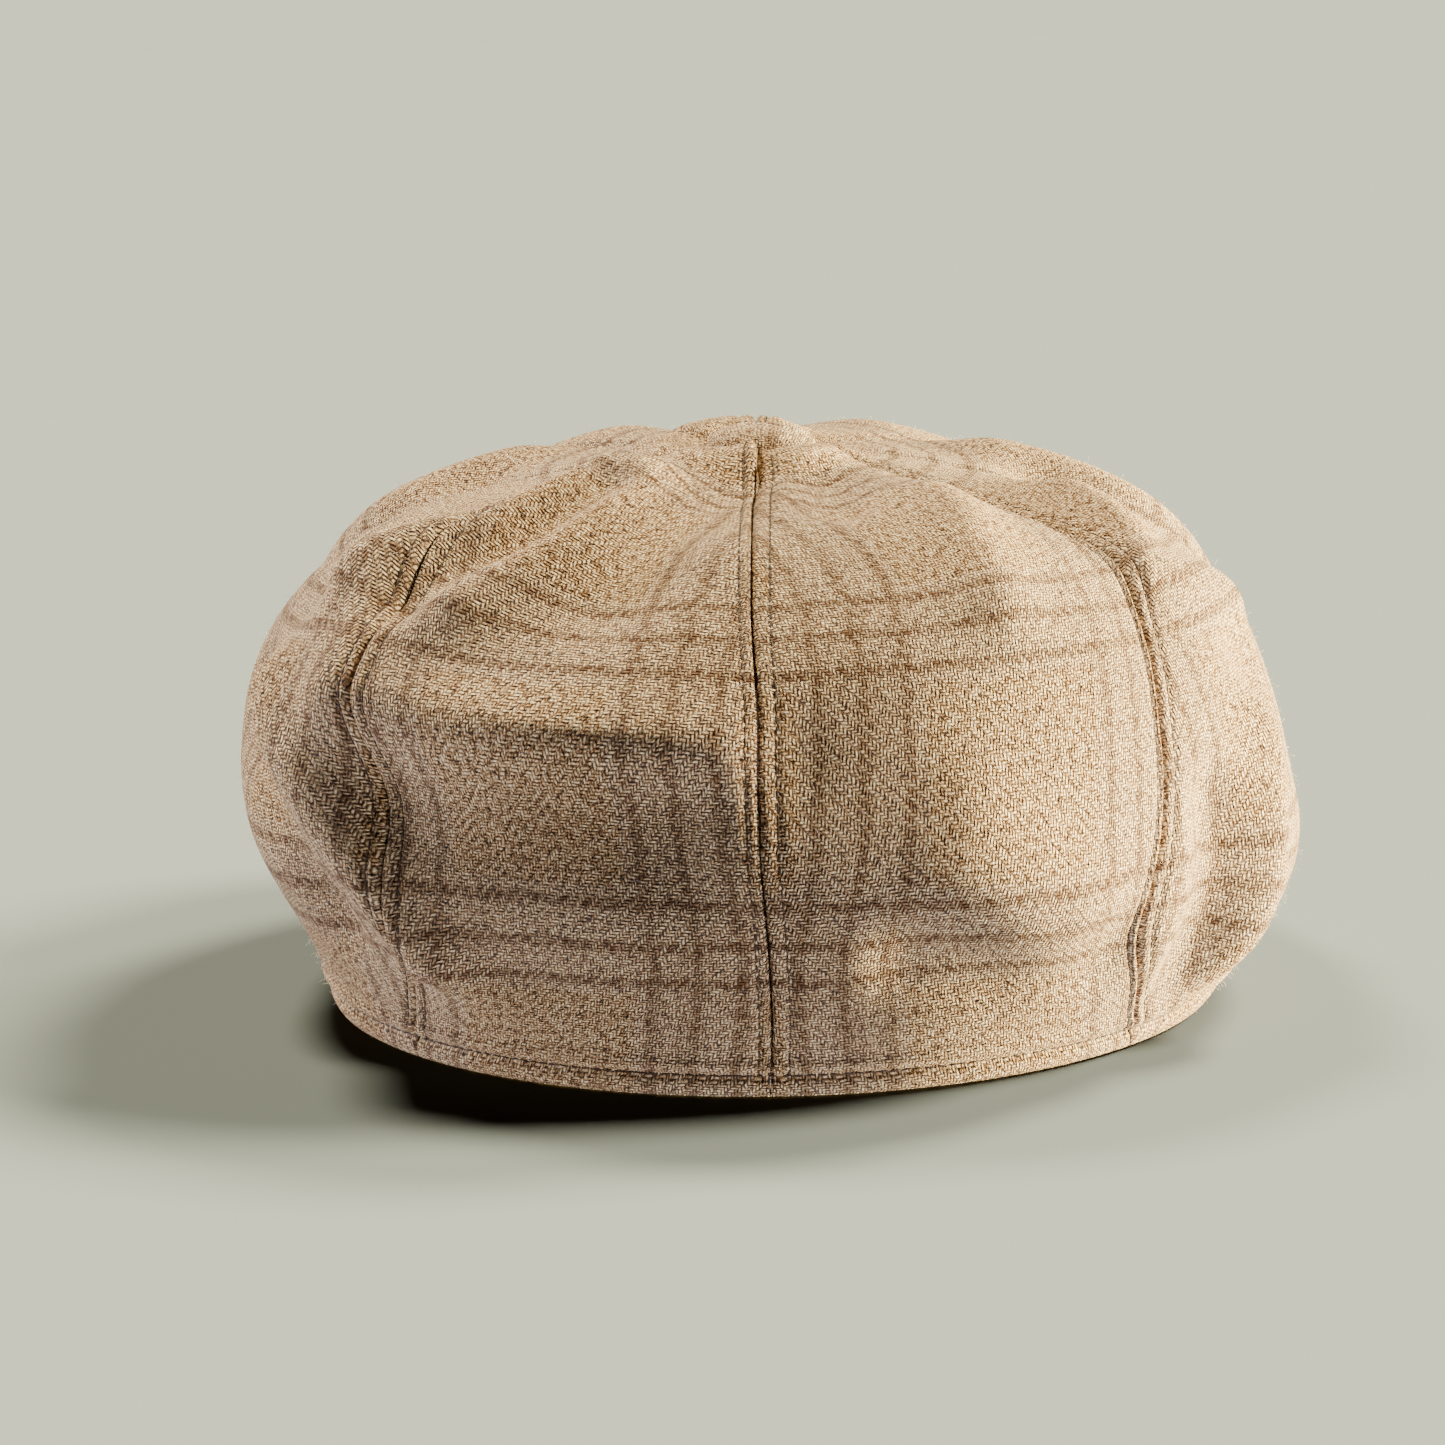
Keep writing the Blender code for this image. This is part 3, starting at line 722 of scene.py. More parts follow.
def soft_curve(points, reach, samples, window, at):
    """Read a line through (place, value) points at places, its corners rounded by a moving average."""
    places, values = zip(*points)
    fine = np.linspace(0.0, reach, samples)
    padded = np.pad(np.interp(fine, places, values), window // 2, mode="edge")
    kernel = np.hanning(window)
    return np.interp(at, fine, np.convolve(padded, kernel / kernel.sum(), mode="valid"))


def slump(height):
    """The crown's sideways shift at heights."""
    return bpy.context.scene.cap_shape.lean * soft_curve(SLUMP, 120.0, 61, 11, height / MM)


def turned_points(radius, azimuth, height):
    """Points at radii and azimuths round the crown's axis."""
    x, y = radius * np.sin(azimuth), CROWN_Y + radius * np.cos(azimuth)
    return np.stack(np.broadcast_arrays(x, y, height), axis=-1)


class CrownForm:
    """The block's surface, as tables over azimuth and share of the meridian's length."""

    def __init__(self, turns=720, steps=360):
        self.turns, self.steps = turns, steps
        azimuths = np.linspace(-math.pi, math.pi, turns + 1)
        lines = [meridian(azimuth, steps + 1) for azimuth in azimuths]
        self.line = np.array([line for line, _ in lines])
        self.length = np.array([length for _, length in lines])
        azimuth = azimuths[:, None]
        radius, height = self.line[..., 0], self.line[..., 1]
        points = np.stack((radius * np.sin(azimuth), radius * np.cos(azimuth), height), axis=-1)
        sideways = np.roll(points[:-1], -1, axis=0) - np.roll(points[:-1], 1, axis=0)
        sideways = np.concatenate((sideways, sideways[:1]))
        upward = np.gradient(points, axis=1)
        normal = np.cross(upward, sideways)
        size = np.linalg.norm(normal, axis=-1, keepdims=True)
        flat = np.broadcast_to(np.array((0.0, 0.0, 1.0)), normal.shape)
        self.normal = np.where(size > 1e-12, normal / np.maximum(size, 1e-12), flat)
        outward = np.sum(self.normal * points, axis=-1, keepdims=True) + self.normal[..., 2:] * 0.05
        self.normal *= np.where(np.median(outward) < 0, -1.0, 1.0)

    def read(self, table, azimuth, share):
        """Bilinear reading of a table, which closes round the crown."""
        column = ((azimuth + math.pi) / (2 * math.pi) % 1.0) * self.turns
        row = np.clip(share, 0.0, 1.0) * self.steps
        i, j = column.astype(int), np.minimum(row.astype(int), self.steps - 1)
        a, b = column - i, row - j
        if table.ndim == 3:
            a, b = a[..., None], b[..., None]
        k = i + 1
        return ((table[i, j] * (1 - a) + table[k, j] * a) * (1 - b)
                + (table[i, j + 1] * (1 - a) + table[k, j + 1] * a) * b)

    def length_at(self, azimuth):
        column = ((azimuth + math.pi) / (2 * math.pi) % 1.0) * self.turns
        i = column.astype(int)
        a = column - i
        return self.length[i] * (1 - a) + self.length[i + 1] * a

    def points(self, azimuth, along, proud=0.0, folded=1.0):
        """Points of the worn crown, standing proud of the block by a distance along its normal."""
        azimuth, along = np.broadcast_arrays(np.asarray(azimuth, float), np.asarray(along, float))
        share = along / self.length_at(azimuth)
        line = self.read(self.line, azimuth, share)
        normal = self.read(self.normal, azimuth, share)
        radius = line[..., 0]
        calm = smooth_step(along / 0.030) * smooth_step((1 - share) / 0.12)
        proud = proud + fold_height(azimuth, along, np.maximum(radius, 0.004)) * calm * folded
        made = turned_points(radius, azimuth, line[..., 1]) + normal * proud[..., None]
        made[..., 0] += slump(line[..., 1])
        return made

    def radius_at(self, azimuth, along):
        return self.read(self.line, azimuth, along / self.length_at(azimuth))[..., 0]


FORM = {}


def crown_form():
    """The crown's surface, worked out once."""
    if "crown" not in FORM:
        FORM["crown"] = CrownForm()
    return FORM["crown"]


def seam_azimuth(seam, along):
    """Azimuth of a seam at distances from the hem."""
    drift = soft_curve(SEAM_DRIFT[seam % GORES], 215.0, 87, 15, along / MM)
    return seam * 2 * math.pi / GORES + np.radians(drift)


def panel_frame(gore, along, offsets_in, middle_count, seam_gap=0.0001):
    """Azimuths and distances to both seams, for a panel's rows (along) and columns.

    offsets_in are columns at set distances from each seam, which close up towards the apex;
    middle_count columns lie evenly between them.
    """
    form = crown_form()
    low, high = seam_azimuth(gore, along), seam_azimuth(gore + 1, along)
    radius = np.maximum(form.radius_at((low + high) / 2, along), APEX_RADIUS * 0.9)
    width = (high - low) * radius
    squeeze = np.minimum(1.0, width / (2 * offsets_in[-1] + 0.012))
    edge = seam_gap + squeeze[:, None] * offsets_in[None, :]
    share = np.linspace(0.0, 1.0, middle_count + 2)[None, 1:-1]
    middle = edge[:, -1:] + share * (width[:, None] - 2 * edge[:, -1:])
    from_low = np.hstack((edge, middle, width[:, None] - edge[:, ::-1]))
    azimuth = low[:, None] + from_low / radius[:, None]
    return azimuth, from_low, width[:, None] - from_low


def seam_scale(width):
    """How far the shape beside a seam closes up where its panel narrows."""
    return np.clip(width / FULL_SEAM_PANEL, LEAST_SEAM_SCALE, 1.0)


def bump_profile(distance, middle, half_width):
    """1 at the middle, 0 a half width away, smooth."""
    return 0.5 + 0.5 * np.cos(math.pi * np.clip((distance - middle) / half_width, -1.0, 1.0))


def seam_relief(from_low, from_high, width, along):
    """How far the cloth stands off the block because of its seams, stitch rows and hem."""
    shape = bpy.context.scene.cap_shape
    across = np.clip(2 * from_low / width - 1, -1.0, 1.0)
    slack = smooth_step(along / 0.05) * smooth_step((0.225 - along) / 0.10)
    relief = -shape.puff * np.abs(across) ** 4 * slack + 0.25 * shape.puff * slack
    for distance, row in ((from_low, SEAM_ROWS[0]), (from_high, SEAM_ROWS[1])):
        at = distance / seam_scale(width)
        relief = relief - shape.groove * np.exp(-(at / GROOVE_WIDTH) ** 2)
        relief = relief + shape.pad * bump_profile(at, row / 2, row / 2)
        relief = relief - shape.stitch_dip * bump_profile(at, row, STITCH_CHANNEL_WIDTH)
        relief = relief + 0.35 * shape.pad * bump_profile(at, row + 0.0022, 0.0018)
    lip = np.where(along < HEM_LIP, np.sin(math.pi * np.clip(along / HEM_LIP, 0, 1)) ** 0.7, 0.0)
    relief = relief * smooth_step((along - 0.001) / 0.006) + HEM_SWELL * lip
    relief = relief - HEM_CHANNEL * bump_profile(along, HEM_LIP, HEM_CHANNEL_WIDTH)
    return relief + HEM_RIDGE * bump_profile(along, HEM_LIP + 0.0032, HEM_RIDGE_WIDTH)


def grid_mesh(name, rows, uvs, material_name, close=False, flip=False):
    """A mesh of a grid of points (rows, columns, 3) with its UVs in metres."""
    count, width = rows.shape[:2]
    corner = np.arange(count * width).reshape(count, width)
    if close:
        corner = np.hstack((corner, corner[:, :1]))
        uvs = np.concatenate((uvs, uvs[:, -1:] + (uvs[:, -1:] - uvs[:, -2:-1])), axis=1)
    order = (corner[:-1, :-1], corner[:-1, 1:], corner[1:, 1:], corner[1:, :-1])
    source = np.arange(count * corner.shape[1]).reshape(count, corner.shape[1])
    uv_order = (source[:-1, :-1], source[:-1, 1:], source[1:, 1:], source[1:, :-1])
    if flip:
        order, uv_order = order[::-1], uv_order[::-1]
    faces = np.stack(order, axis=-1).reshape(-1, 4)
    loops = np.stack(uv_order, axis=-1).reshape(-1)
    mesh = bpy.data.meshes.new(name)
    mesh.from_pydata(rows.reshape(-1, 3).tolist(), [], faces.tolist())
    layer = mesh.uv_layers.new(name="cloth")
    layer.data.foreach_set("uv", uvs.reshape(-1, 2)[loops].astype(np.float32).ravel())
    mesh.materials.append(material(material_name))
    mesh.shade_smooth()
    return mesh


def add_object(name, data):
    """A new object in the scene."""
    obj = bpy.data.objects.new(name, data)
    bpy.context.scene.collection.objects.link(obj)
    return obj


def follow(obj, body):
    """Ride a body, or, at the front of the hem where there is none, stay in place with no parent."""
    if body:
        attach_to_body(obj, body)
    else:
        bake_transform(obj)


def front_or_rear(front):
    """The body that a crown piece follows: none for the front pieces by the peak."""
    return None if front else "crown"


def thicken(obj, thickness):
    """Give a skin its thickness, inwards from its outer face."""
    solid = obj.modifiers.new("thickness", "SOLIDIFY")
    solid.thickness = thickness
    solid.offset = -1.0
    solid.use_even_offset = False


def bake(obj):
    """Turn an object's modifiers into its mesh."""
    graph = bpy.context.evaluated_depsgraph_get()
    graph.update()
    mesh = bpy.data.meshes.new_from_object(obj.evaluated_get(graph))
    obj.modifiers.clear()
    obj.data = mesh


def make_cloth(name, mesh, thickness, node, body="crown"):
    """A skin made into a piece of cloth that stands for a node, and the area it was cut to."""
    area = sum(face.area for face in mesh.polygons)
    obj = add_object(name, mesh)
    thicken(obj, thickness)
    bake(obj)
    follow(obj, body)
    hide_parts(node)
    return obj, area


# The crown's pieces ------------------------------------------------------------------------------
def hem_fold_rows(gore, first_wall):
    """Rows of the turned-up ply and of the hem's rounded edge, from inside up to the wall."""
    form = crown_form()
    rows, alongs = [], []
    for along in np.linspace(HEM_PLY, HEM_TURN * 1.5, 7):
        level = np.full(1, along)
        azimuth = panel_frame(gore, level, EDGE_COLUMNS, MIDDLE_COLUMNS)[0]
        rows.append(form.points(azimuth, level[:, None], proud=np.full(azimuth.shape, -2 * HEM_TURN)))
        alongs.append(-along)
    level = np.full(1, HEM_TURN)
    azimuth = panel_frame(gore, level, EDGE_COLUMNS, MIDDLE_COLUMNS)[0]
    inner = form.points(azimuth, level[:, None], proud=np.full(azimuth.shape, -2 * HEM_TURN))
    above = form.points(azimuth, level[:, None] + MM)
    below = form.points(azimuth, level[:, None])
    down = (below - above) / np.linalg.norm(below - above, axis=-1, keepdims=True)
    centre, reach = (inner + first_wall) / 2, (first_wall - inner) / 2
    for angle in np.linspace(math.pi, 0.0, 9)[:-1]:
        rows.append(centre + reach * math.cos(angle) + down * HEM_TURN * math.sin(angle))
        alongs.append(-HEM_TURN * angle / math.pi)
    return np.concatenate(rows), np.array(alongs)


def crown_panel_rows(gore):
    """A tweed panel's skin, and its cloth coordinates in metres."""
    form = crown_form()
    azimuth, from_low, from_high = panel_frame(gore, WALL_ROWS, EDGE_COLUMNS, MIDDLE_COLUMNS)
    width = from_low[:, -1:] + from_low[:, :1]
    along = np.broadcast_to(WALL_ROWS[:, None], azimuth.shape)
    wall = form.points(azimuth, along, seam_relief(from_low, from_high, width, along))
    low_rows, low_alongs = hem_fold_rows(gore, wall[:1])
    rows = np.concatenate((low_rows, wall))
    alongs = np.concatenate((low_alongs, WALL_ROWS))
    sideways = from_low - width / 2
    sideways = np.concatenate((np.repeat(sideways[:1], len(low_alongs), axis=0), sideways))
    mirror = 1.0 if gore % 2 == 0 else -1.0
    uvs = np.stack((mirror * sideways + PLAID_OFFSET[0],
                    np.broadcast_to(alongs[:, None], sideways.shape) - PLAID_OFFSET[1]), axis=-1)
    return rows, uvs


def build_crown_panels():
    """The tweed panels, with their seams, folds and turned hem."""
    for gore, name in enumerate(PANEL_NAMES):
        rows, uvs = crown_panel_rows(gore)
        mesh = grid_mesh(f"tweed_panel_{name}", rows, uvs, "tweed", flip=True)
        body = front_or_rear(gore in FRONT_GORES)
        obj, area = make_cloth(f"tweed_panel_{name}", mesh, CLOTH, f"crown_panel_{name}", body)


def build_linings():
    """The satin panels, hanging a little slack inside the crown."""
    alongs = np.linspace(LINING_FOOT, LINING_TOP, 92)
    for gore, name in enumerate(PANEL_NAMES):
        azimuth, from_low, from_high = panel_frame(gore, alongs, LINING_COLUMNS, 26)
        width = from_low[:, -1:] + from_low[:, :1]
        across = np.clip(2 * from_low / width - 1, -1.0, 1.0)
        along = np.broadcast_to(alongs[:, None], azimuth.shape)
        puff = -bpy.context.scene.cap_shape.puff * np.abs(across) ** 4
        slack = (1 - across ** 2) * smooth_step((along - 0.03) / 0.04) * smooth_step((0.20 - along) / 0.05)
        crease = LINING_CREASE * np.sin(across * 7.0 + gore * 1.7 + along * 60) * slack
        depth = LINING_DEPTH + LINING_SLACK * slack + np.abs(crease)
        seam = LINING_SEAM * sum(np.exp(-(side / LINING_SEAM_WIDTH) ** 2) for side in (from_low, from_high))
        rows = crown_form().points(azimuth, along, puff - depth - seam)
        uvs = np.stack((from_low, along), axis=-1)
        mesh = grid_mesh(f"lining_{name}", rows, uvs, "lining", flip=True)
        obj, area = make_cloth(f"lining_{name}", mesh, LINING_CLOTH, f"lining_panel_{name}")


# Bands, labels and peak --------------------------------------------------------------------------
def cad_hem_height(azimuth):
    """The lower edge that the bands inside the hem follow."""
    arch = (turn_from_back(azimuth) - BAND_ARCH_START) / (math.pi - BAND_ARCH_START)
    return BAND_ARCH_RISE * smooth_step(arch)


def band_rows(profile, count):
    """Rings round the hem oval for (inset, height) pairs, with UVs in metres."""
    azimuth = np.linspace(0.0, 2 * math.pi, count, endpoint=False)
    radius, rise = hem_radius(azimuth), np.maximum(cad_hem_height(azimuth), hem_height(azimuth))
    rows, uvs = [], []
    run = 0.0
    previous = profile[0]
    for inset, height in profile:
        run += math.hypot(inset - previous[0], height - previous[1])
        previous = (inset, height)
        ring = turned_points(radius - inset, azimuth, rise + height)
        ring[:, 0] += slump(height)
        rows.append(ring)
        uvs.append(np.stack((azimuth * (HEM_HALF_WIDTH + HEM_HALF_LENGTH) / 2,
                             np.full(count, run)), axis=-1))
    return np.array(rows), np.array(uvs)


def ribbon_profile(inset, foot, top, thickness, swell):
    """Outer face, folded top edge and inner face of a ribbon, as a closed line."""
    heights = np.linspace(foot, top, 22)
    swells = 0.3 * swell * np.sin((heights - foot) / (top - foot) * math.pi)
    half = thickness / 2
    outer = [(inset - out, height) for height, out in zip(heights, swells)]
    edge = [(inset + half - half * math.cos(angle), top + half * math.sin(angle))
            for angle in np.linspace(0.3, math.pi - 0.3, 5)]
    inner = [(inset + thickness - out, height) for height, out in zip(heights[::-1], swells[::-1])]
    return outer + edge + inner


def build_bands():
    """The stay tape in the hem and the sweatband round the opening."""
    for name, node, sizes, material_name, slot in BANDS:
        rows, uvs = band_rows(ribbon_profile(*sizes), 360)
        rows, uvs = np.concatenate((rows, rows[:1])), np.concatenate((uvs, uvs[-1:]))
        mesh = grid_mesh(name, rows, uvs, material_name, close=True)
        weld(mesh)
        obj = add_object(name, mesh)
        follow(obj, "crown")
        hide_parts(node)


def weld(mesh):
    """Merge doubled points and turn the faces outwards."""
    bm = bmesh.new()
    bm.from_mesh(mesh)
    bmesh.ops.remove_doubles(bm, verts=bm.verts, dist=1e-6)
    bmesh.ops.recalc_face_normals(bm, faces=bm.faces)
    bm.to_mesh(mesh)
    bm.free()


def peak_plan(across, forward, tuck):
    """Plan point of the peak from its root, run in under the hem by a tuck, to its edge."""
    turn = across * math.pi / 2
    azimuth = math.pi - across * PEAK_ROOT_ANGLE
    reach = hem_radius(azimuth) - tuck
    root_x, root_y = reach * np.sin(azimuth), reach * np.cos(azimuth)
    edge_x = PEAK_HALF_WIDTH * np.sin(turn)
    edge_y = -PEAK_CORNER_Y - (PEAK_EDGE_Y - PEAK_CORNER_Y) * np.cos(turn)
    return root_x + (edge_x - root_x) * forward, root_y + (edge_y - root_y) * forward


def peak_depth(across):
    """Distance in plan from the peak's root to its edge."""
    root_x, root_y = peak_plan(across, 0.0, PEAK_TUCK)
    edge_x, edge_y = peak_plan(across, 1.0, PEAK_TUCK)
    return np.hypot(edge_x - root_x, edge_y - root_y)


def peak_surface(across, forward, side):
    """Points of the peak's top (side 1) or under (side -1) skin."""
    x, y = peak_plan(across, forward, PEAK_TUCK)
    to_edge = (1 - forward) * peak_depth(across)
    to_corner = (1 - np.abs(across)) * (PEAK_HALF_ROOT + 0.060 * forward)
    inside = np.minimum(to_edge, to_corner)
    softened = -np.log(np.exp(-to_edge / PEAK_CORNER_BLEND) + np.exp(-to_corner / PEAK_CORNER_BLEND))
    softened = softened * PEAK_CORNER_BLEND
    inside = np.clip(np.minimum(inside, softened), 0.0, PEAK_EDGE_ROUND)
    full = PEAK_SKIN[0 if side > 0 else 1]
    swell = full * np.sqrt(np.clip(1 - (1 - inside / PEAK_EDGE_ROUND) ** 2, 0.0, 1.0))
    channel = PEAK_CHANNEL * bump_profile(np.minimum(to_edge, to_corner), PEAK_STITCH_ROW, 0.0012)
    z = peak_height(x, y) + side * (swell - channel)
    return np.stack((x, CROWN_Y + y, z), axis=-1)


def build_peak():
    """The tweed over and under the board, turned in round its edge."""
    turns = np.sin(np.linspace(-1, 1, 141) * math.pi / 2)
    steps = 1 - (1 - np.linspace(0.0, 1.0, 64)) ** 1.6
    across, forward = np.meshgrid(turns, steps)
    for name, node, side, thickness in PEAK_CLOTHS:
        rows = peak_surface(across, forward, side)
        middle = peak_height(rows[..., 0], rows[..., 1] - CROWN_Y)
        drop = PEAK_SKIN[0 if side > 0 else 1] - side * (rows[..., 2] - middle)
        uvs = np.stack((rows[..., 0] + PLAID_OFFSET[0], drop - rows[..., 1]), axis=-1)
        mesh = grid_mesh(name, rows, uvs, "tweed", flip=side > 0)
        obj, area = make_cloth(name, mesh, thickness, node, "peak")


def build_button():
    """Tweed gathered over the button's shell, with soft pleats under its rim."""
    seat = BUTTON_LOW.z
    turns, steps = 96, 26
    azimuth = np.linspace(0.0, 2 * math.pi, turns, endpoint=False)[None, :]
    climb = np.linspace(0.0, 1.0, steps)[:, None]
    pleat = np.cos(BUTTON_PLEATS * azimuth + 2.0 * np.sin(3 * azimuth))
    rim = np.exp(-(climb - 1.0) ** 2 / 0.02)
    dome_radius = (BUTTON_RADIUS - 0.0003) * np.sin(math.pi / 2 * climb) ** 0.9
    radius = dome_radius * (1 + BUTTON_PLEAT_DEPTH * pleat * rim)
    height = seat + (BUTTON_RISE - BUTTON_CLEAR) * np.cos(math.pi / 2 * climb) ** 0.85
    height = height + 0.00025 * np.sin(3 * azimuth + 1.0) * np.sin(math.pi * climb)
    rings = [turned_points(radius, azimuth, height)[1:]]
    for share in (0.25, 0.5, 0.75, 1.0):
        inward = radius[-1:] - BUTTON_TUCK * share
        drop = BUTTON_TUCK_DROP * math.sin(share * math.pi)
        rings.append(turned_points(inward, azimuth, height[-1:] - drop))
    rows = np.concatenate(rings)
    length = np.concatenate((climb[1:, 0], 1 + 0.08 * np.arange(1, 5)))[:, None] * BUTTON_SKIN
    uvs = np.stack((length * np.sin(azimuth) + BUTTON_UV[0], length * np.cos(azimuth) + BUTTON_UV[1]),
                   axis=-1)
    mesh = grid_mesh("button_tweed", rows, uvs, "tweed", close=True)
    cap_pole(mesh, turns, Vector((0.0, CROWN_Y, seat + BUTTON_RISE - BUTTON_CLEAR)), BUTTON_UV)
    obj, area = make_cloth("button_tweed", mesh, BUTTON_CLOTH, "button_cover")


def cap_pole(mesh, turns, pole, pole_uv):
    """Close the first ring of a turned skin with one pole point."""
    bm = bmesh.new()
    bm.from_mesh(mesh)
    bm.verts.ensure_lookup_table()
    layer = bm.loops.layers.uv["cloth"]
    ring = [bm.verts[index] for index in range(turns)]
    ring_uvs = {vertex: vertex.link_loops[0][layer].uv.copy() for vertex in ring}
    top = bm.verts.new(pole)
    for index in range(turns):
        face = bm.faces.new((top, ring[index], ring[(index + 1) % turns]))
        face.smooth = True
        for loop in face.loops:
            loop[layer].uv = pole_uv if loop.vert is top else ring_uvs[loop.vert]
    bmesh.ops.recalc_face_normals(bm, faces=bm.faces)
    bm.to_mesh(mesh)
    bm.free()


def label_points(azimuth, along, depth):
    """Points over the lining at the back, where the label follows only part of the folds."""
    puff = bpy.context.scene.cap_shape.puff
    proud = -puff - LINING_DEPTH - LINING_SLACK - LABEL_CLEAR - depth
    return crown_form().points(azimuth, along, proud, folded=LABEL_FLATNESS)


def build_labels():
    """The blank label inside the back panels and the blank size tab in the sweatband."""
    azimuth, along = np.meshgrid(np.linspace(-LABEL_HALF_ANGLE, LABEL_HALF_ANGLE, 49),
                                 np.linspace(LABEL_FOOT, LABEL_TOP, 25))
    sag = LABEL_SAG * np.sin((along - LABEL_FOOT) / (LABEL_TOP - LABEL_FOOT) * math.pi)
    rows = label_points(azimuth, along, sag)
    uvs = np.stack((azimuth * LABEL_RADIUS, along), axis=-1)
    mesh = grid_mesh("blank_maker_label", rows, uvs, "label", flip=True)
    label, _ = make_cloth("blank_maker_label", mesh, LABEL_CLOTH, "maker_label")

    low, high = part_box("size_tab")
    reach = hem_radius(np.array(TAB_AZIMUTH)) - SWEATBAND_INSET - TAB_MIDDLE_INSET
    half_angle = TAB_FLAT[0] / 2 / reach
    azimuth, height = np.meshgrid(np.linspace(TAB_AZIMUTH - half_angle, TAB_AZIMUTH + half_angle, 13),
                                  np.linspace(low.z, high.z, 15))
    radius = hem_radius(azimuth) - SWEATBAND_INSET - TAB_INSET
    radius = radius - 0.0004 * smooth_step((high.z - height) / 0.010)
    rows = turned_points(radius, azimuth, height)
    rows[..., 0] += slump(height)
    uvs = np.stack((azimuth * reach, height), axis=-1)
    mesh = grid_mesh("blank_size_tab", rows, uvs, "label", flip=True)
    tab, _ = make_cloth("blank_size_tab", mesh, LABEL_CLOTH, "size_tab")


def finish_hardware():
    """Give the rigid pieces inside the button and the peak their finishes."""
    for node, name, slot in HARDWARE:
        obj = frame["nodes"][node]
        obj.data.materials.clear()
        obj.data.materials.append(material(name))


# Stitches and fibres by Geometry Nodes -----------------------------------------------------------
class Tree:
    """A Geometry Nodes tree with named inputs, and one method that adds a node."""

    def __init__(self, name, inputs):
        self.group = bpy.data.node_groups.new(name, "GeometryNodeTree")
        interface = self.group.interface
        interface.new_socket("Geometry", in_out="INPUT", socket_type="NodeSocketGeometry")
        self.identifiers = {}
        for label, (kind, default) in inputs.items():
            socket = interface.new_socket(label, in_out="INPUT", socket_type=kind)
            if default is not None:
                socket.default_value = default
            self.identifiers[label] = socket.identifier
        interface.new_socket("Geometry", in_out="OUTPUT", socket_type="NodeSocketGeometry")
        self.entry = self.group.nodes.new("NodeGroupInput")
        self.exit = self.group.nodes.new("NodeGroupOutput")

    def given(self, label):
        return self.entry.outputs[label]

    def node(self, kind, settings=None, inputs=None):
        made = self.group.nodes.new(kind)
        for key, value in (settings or {}).items():
            setattr(made, key, value)
        for key, value in (inputs or {}).items():
            if isinstance(value, bpy.types.NodeSocket):
                self.group.links.new(value, made.inputs[key])
            else:
                made.inputs[key].default_value = value
        return made

    def finish(self, geometry, material_socket):
        real = self.node("GeometryNodeRealizeInstances", None, {"Geometry": geometry})
        painted = self.node("GeometryNodeSetMaterial", None,
                            {"Geometry": real.outputs[0], "Material": material_socket})
        smooth = self.node("GeometryNodeSetShadeSmooth", None, {"Geometry": painted.outputs[0]})
        self.group.links.new(smooth.outputs[0], self.exit.inputs[0])
        return self

    def maths(self, operation, first, second):
        """A Math node's result from two values or sockets."""
        return self.node("ShaderNodeMath", {"operation": operation}, {0: first, 1: second}).outputs[0]

    def random(self, low, high, seed, kind="FLOAT"):
        """A random value or vector for each point."""
        sockets, output = ((2, 3), 1) if kind == "FLOAT" else ((0, 1), 0)
        made = self.node("FunctionNodeRandomValue", {"data_type": kind},
                         {sockets[0]: low, sockets[1]: high, "Seed": seed})
        return made.outputs[output]


def run_tree(obj, tree, values):
    """Put a tree on an object, set its inputs and turn the result into the object's mesh."""
    modifier = obj.modifiers.new(tree.group.name, "NODES")
    modifier.node_group = tree.group
    for label, value in values.items():
        modifier[tree.identifiers[label]] = value
    bake(obj)


def stitch_tree():
    """Thread stitches laid end to end along the edges of a line mesh, sunk a little at their ends."""
    tree = Tree("topstitch", {
        "Pitch": ("NodeSocketFloat", 0.0024), "Radius": ("NodeSocketFloat", 0.0002),
        "Fill": ("NodeSocketFloat", 0.86), "Wobble": ("NodeSocketFloat", 0.12),
        "Seed": ("NodeSocketInt", 7), "Material": ("NodeSocketMaterial", None)})
    curve = tree.node("GeometryNodeMeshToCurve", None, {"Mesh": tree.given("Geometry")})
    even = tree.node("GeometryNodeResampleCurve", {"mode": "LENGTH"},
                     {"Curve": curve.outputs[0], "Length": tree.given("Pitch")})
    points = tree.node("GeometryNodeCurveToPoints", {"mode": "EVALUATED"}, {"Curve": even.outputs[0]})
    bead = tree.node("GeometryNodeMeshUVSphere", None, {"Segments": 6, "Rings": 5, "Radius": 1.0})
    half = tree.maths("MULTIPLY", tree.maths("MULTIPLY", tree.given("Pitch"), tree.given("Fill")), 0.5)
    size = tree.node("ShaderNodeCombineXYZ", None,
                     {0: tree.given("Radius"), 1: tree.given("Radius"), 2: half})
    aim = tree.node("FunctionNodeAlignEulerToVector", {"axis": "Z"}, {"Vector": points.outputs["Tangent"]})
    low = tree.maths("MULTIPLY", tree.given("Wobble"), -1.0)
    wobble = tree.random(low, tree.given("Wobble"), tree.given("Seed"))
    tilt = tree.node("ShaderNodeCombineXYZ", None, {0: wobble, 1: wobble})
    turned = tree.node("FunctionNodeRotateEuler", {"rotation_type": "EULER", "space": "LOCAL"},
                       {"Rotation": aim.outputs[0], "Rotate By": tilt.outputs[0]})
    placed = tree.node("GeometryNodeInstanceOnPoints", None,
                       {"Points": points.outputs["Points"], "Instance": bead.outputs[0],
                        "Rotation": turned.outputs[0], "Scale": size.outputs[0]})
    return tree.finish(placed.outputs[0], tree.given("Material"))


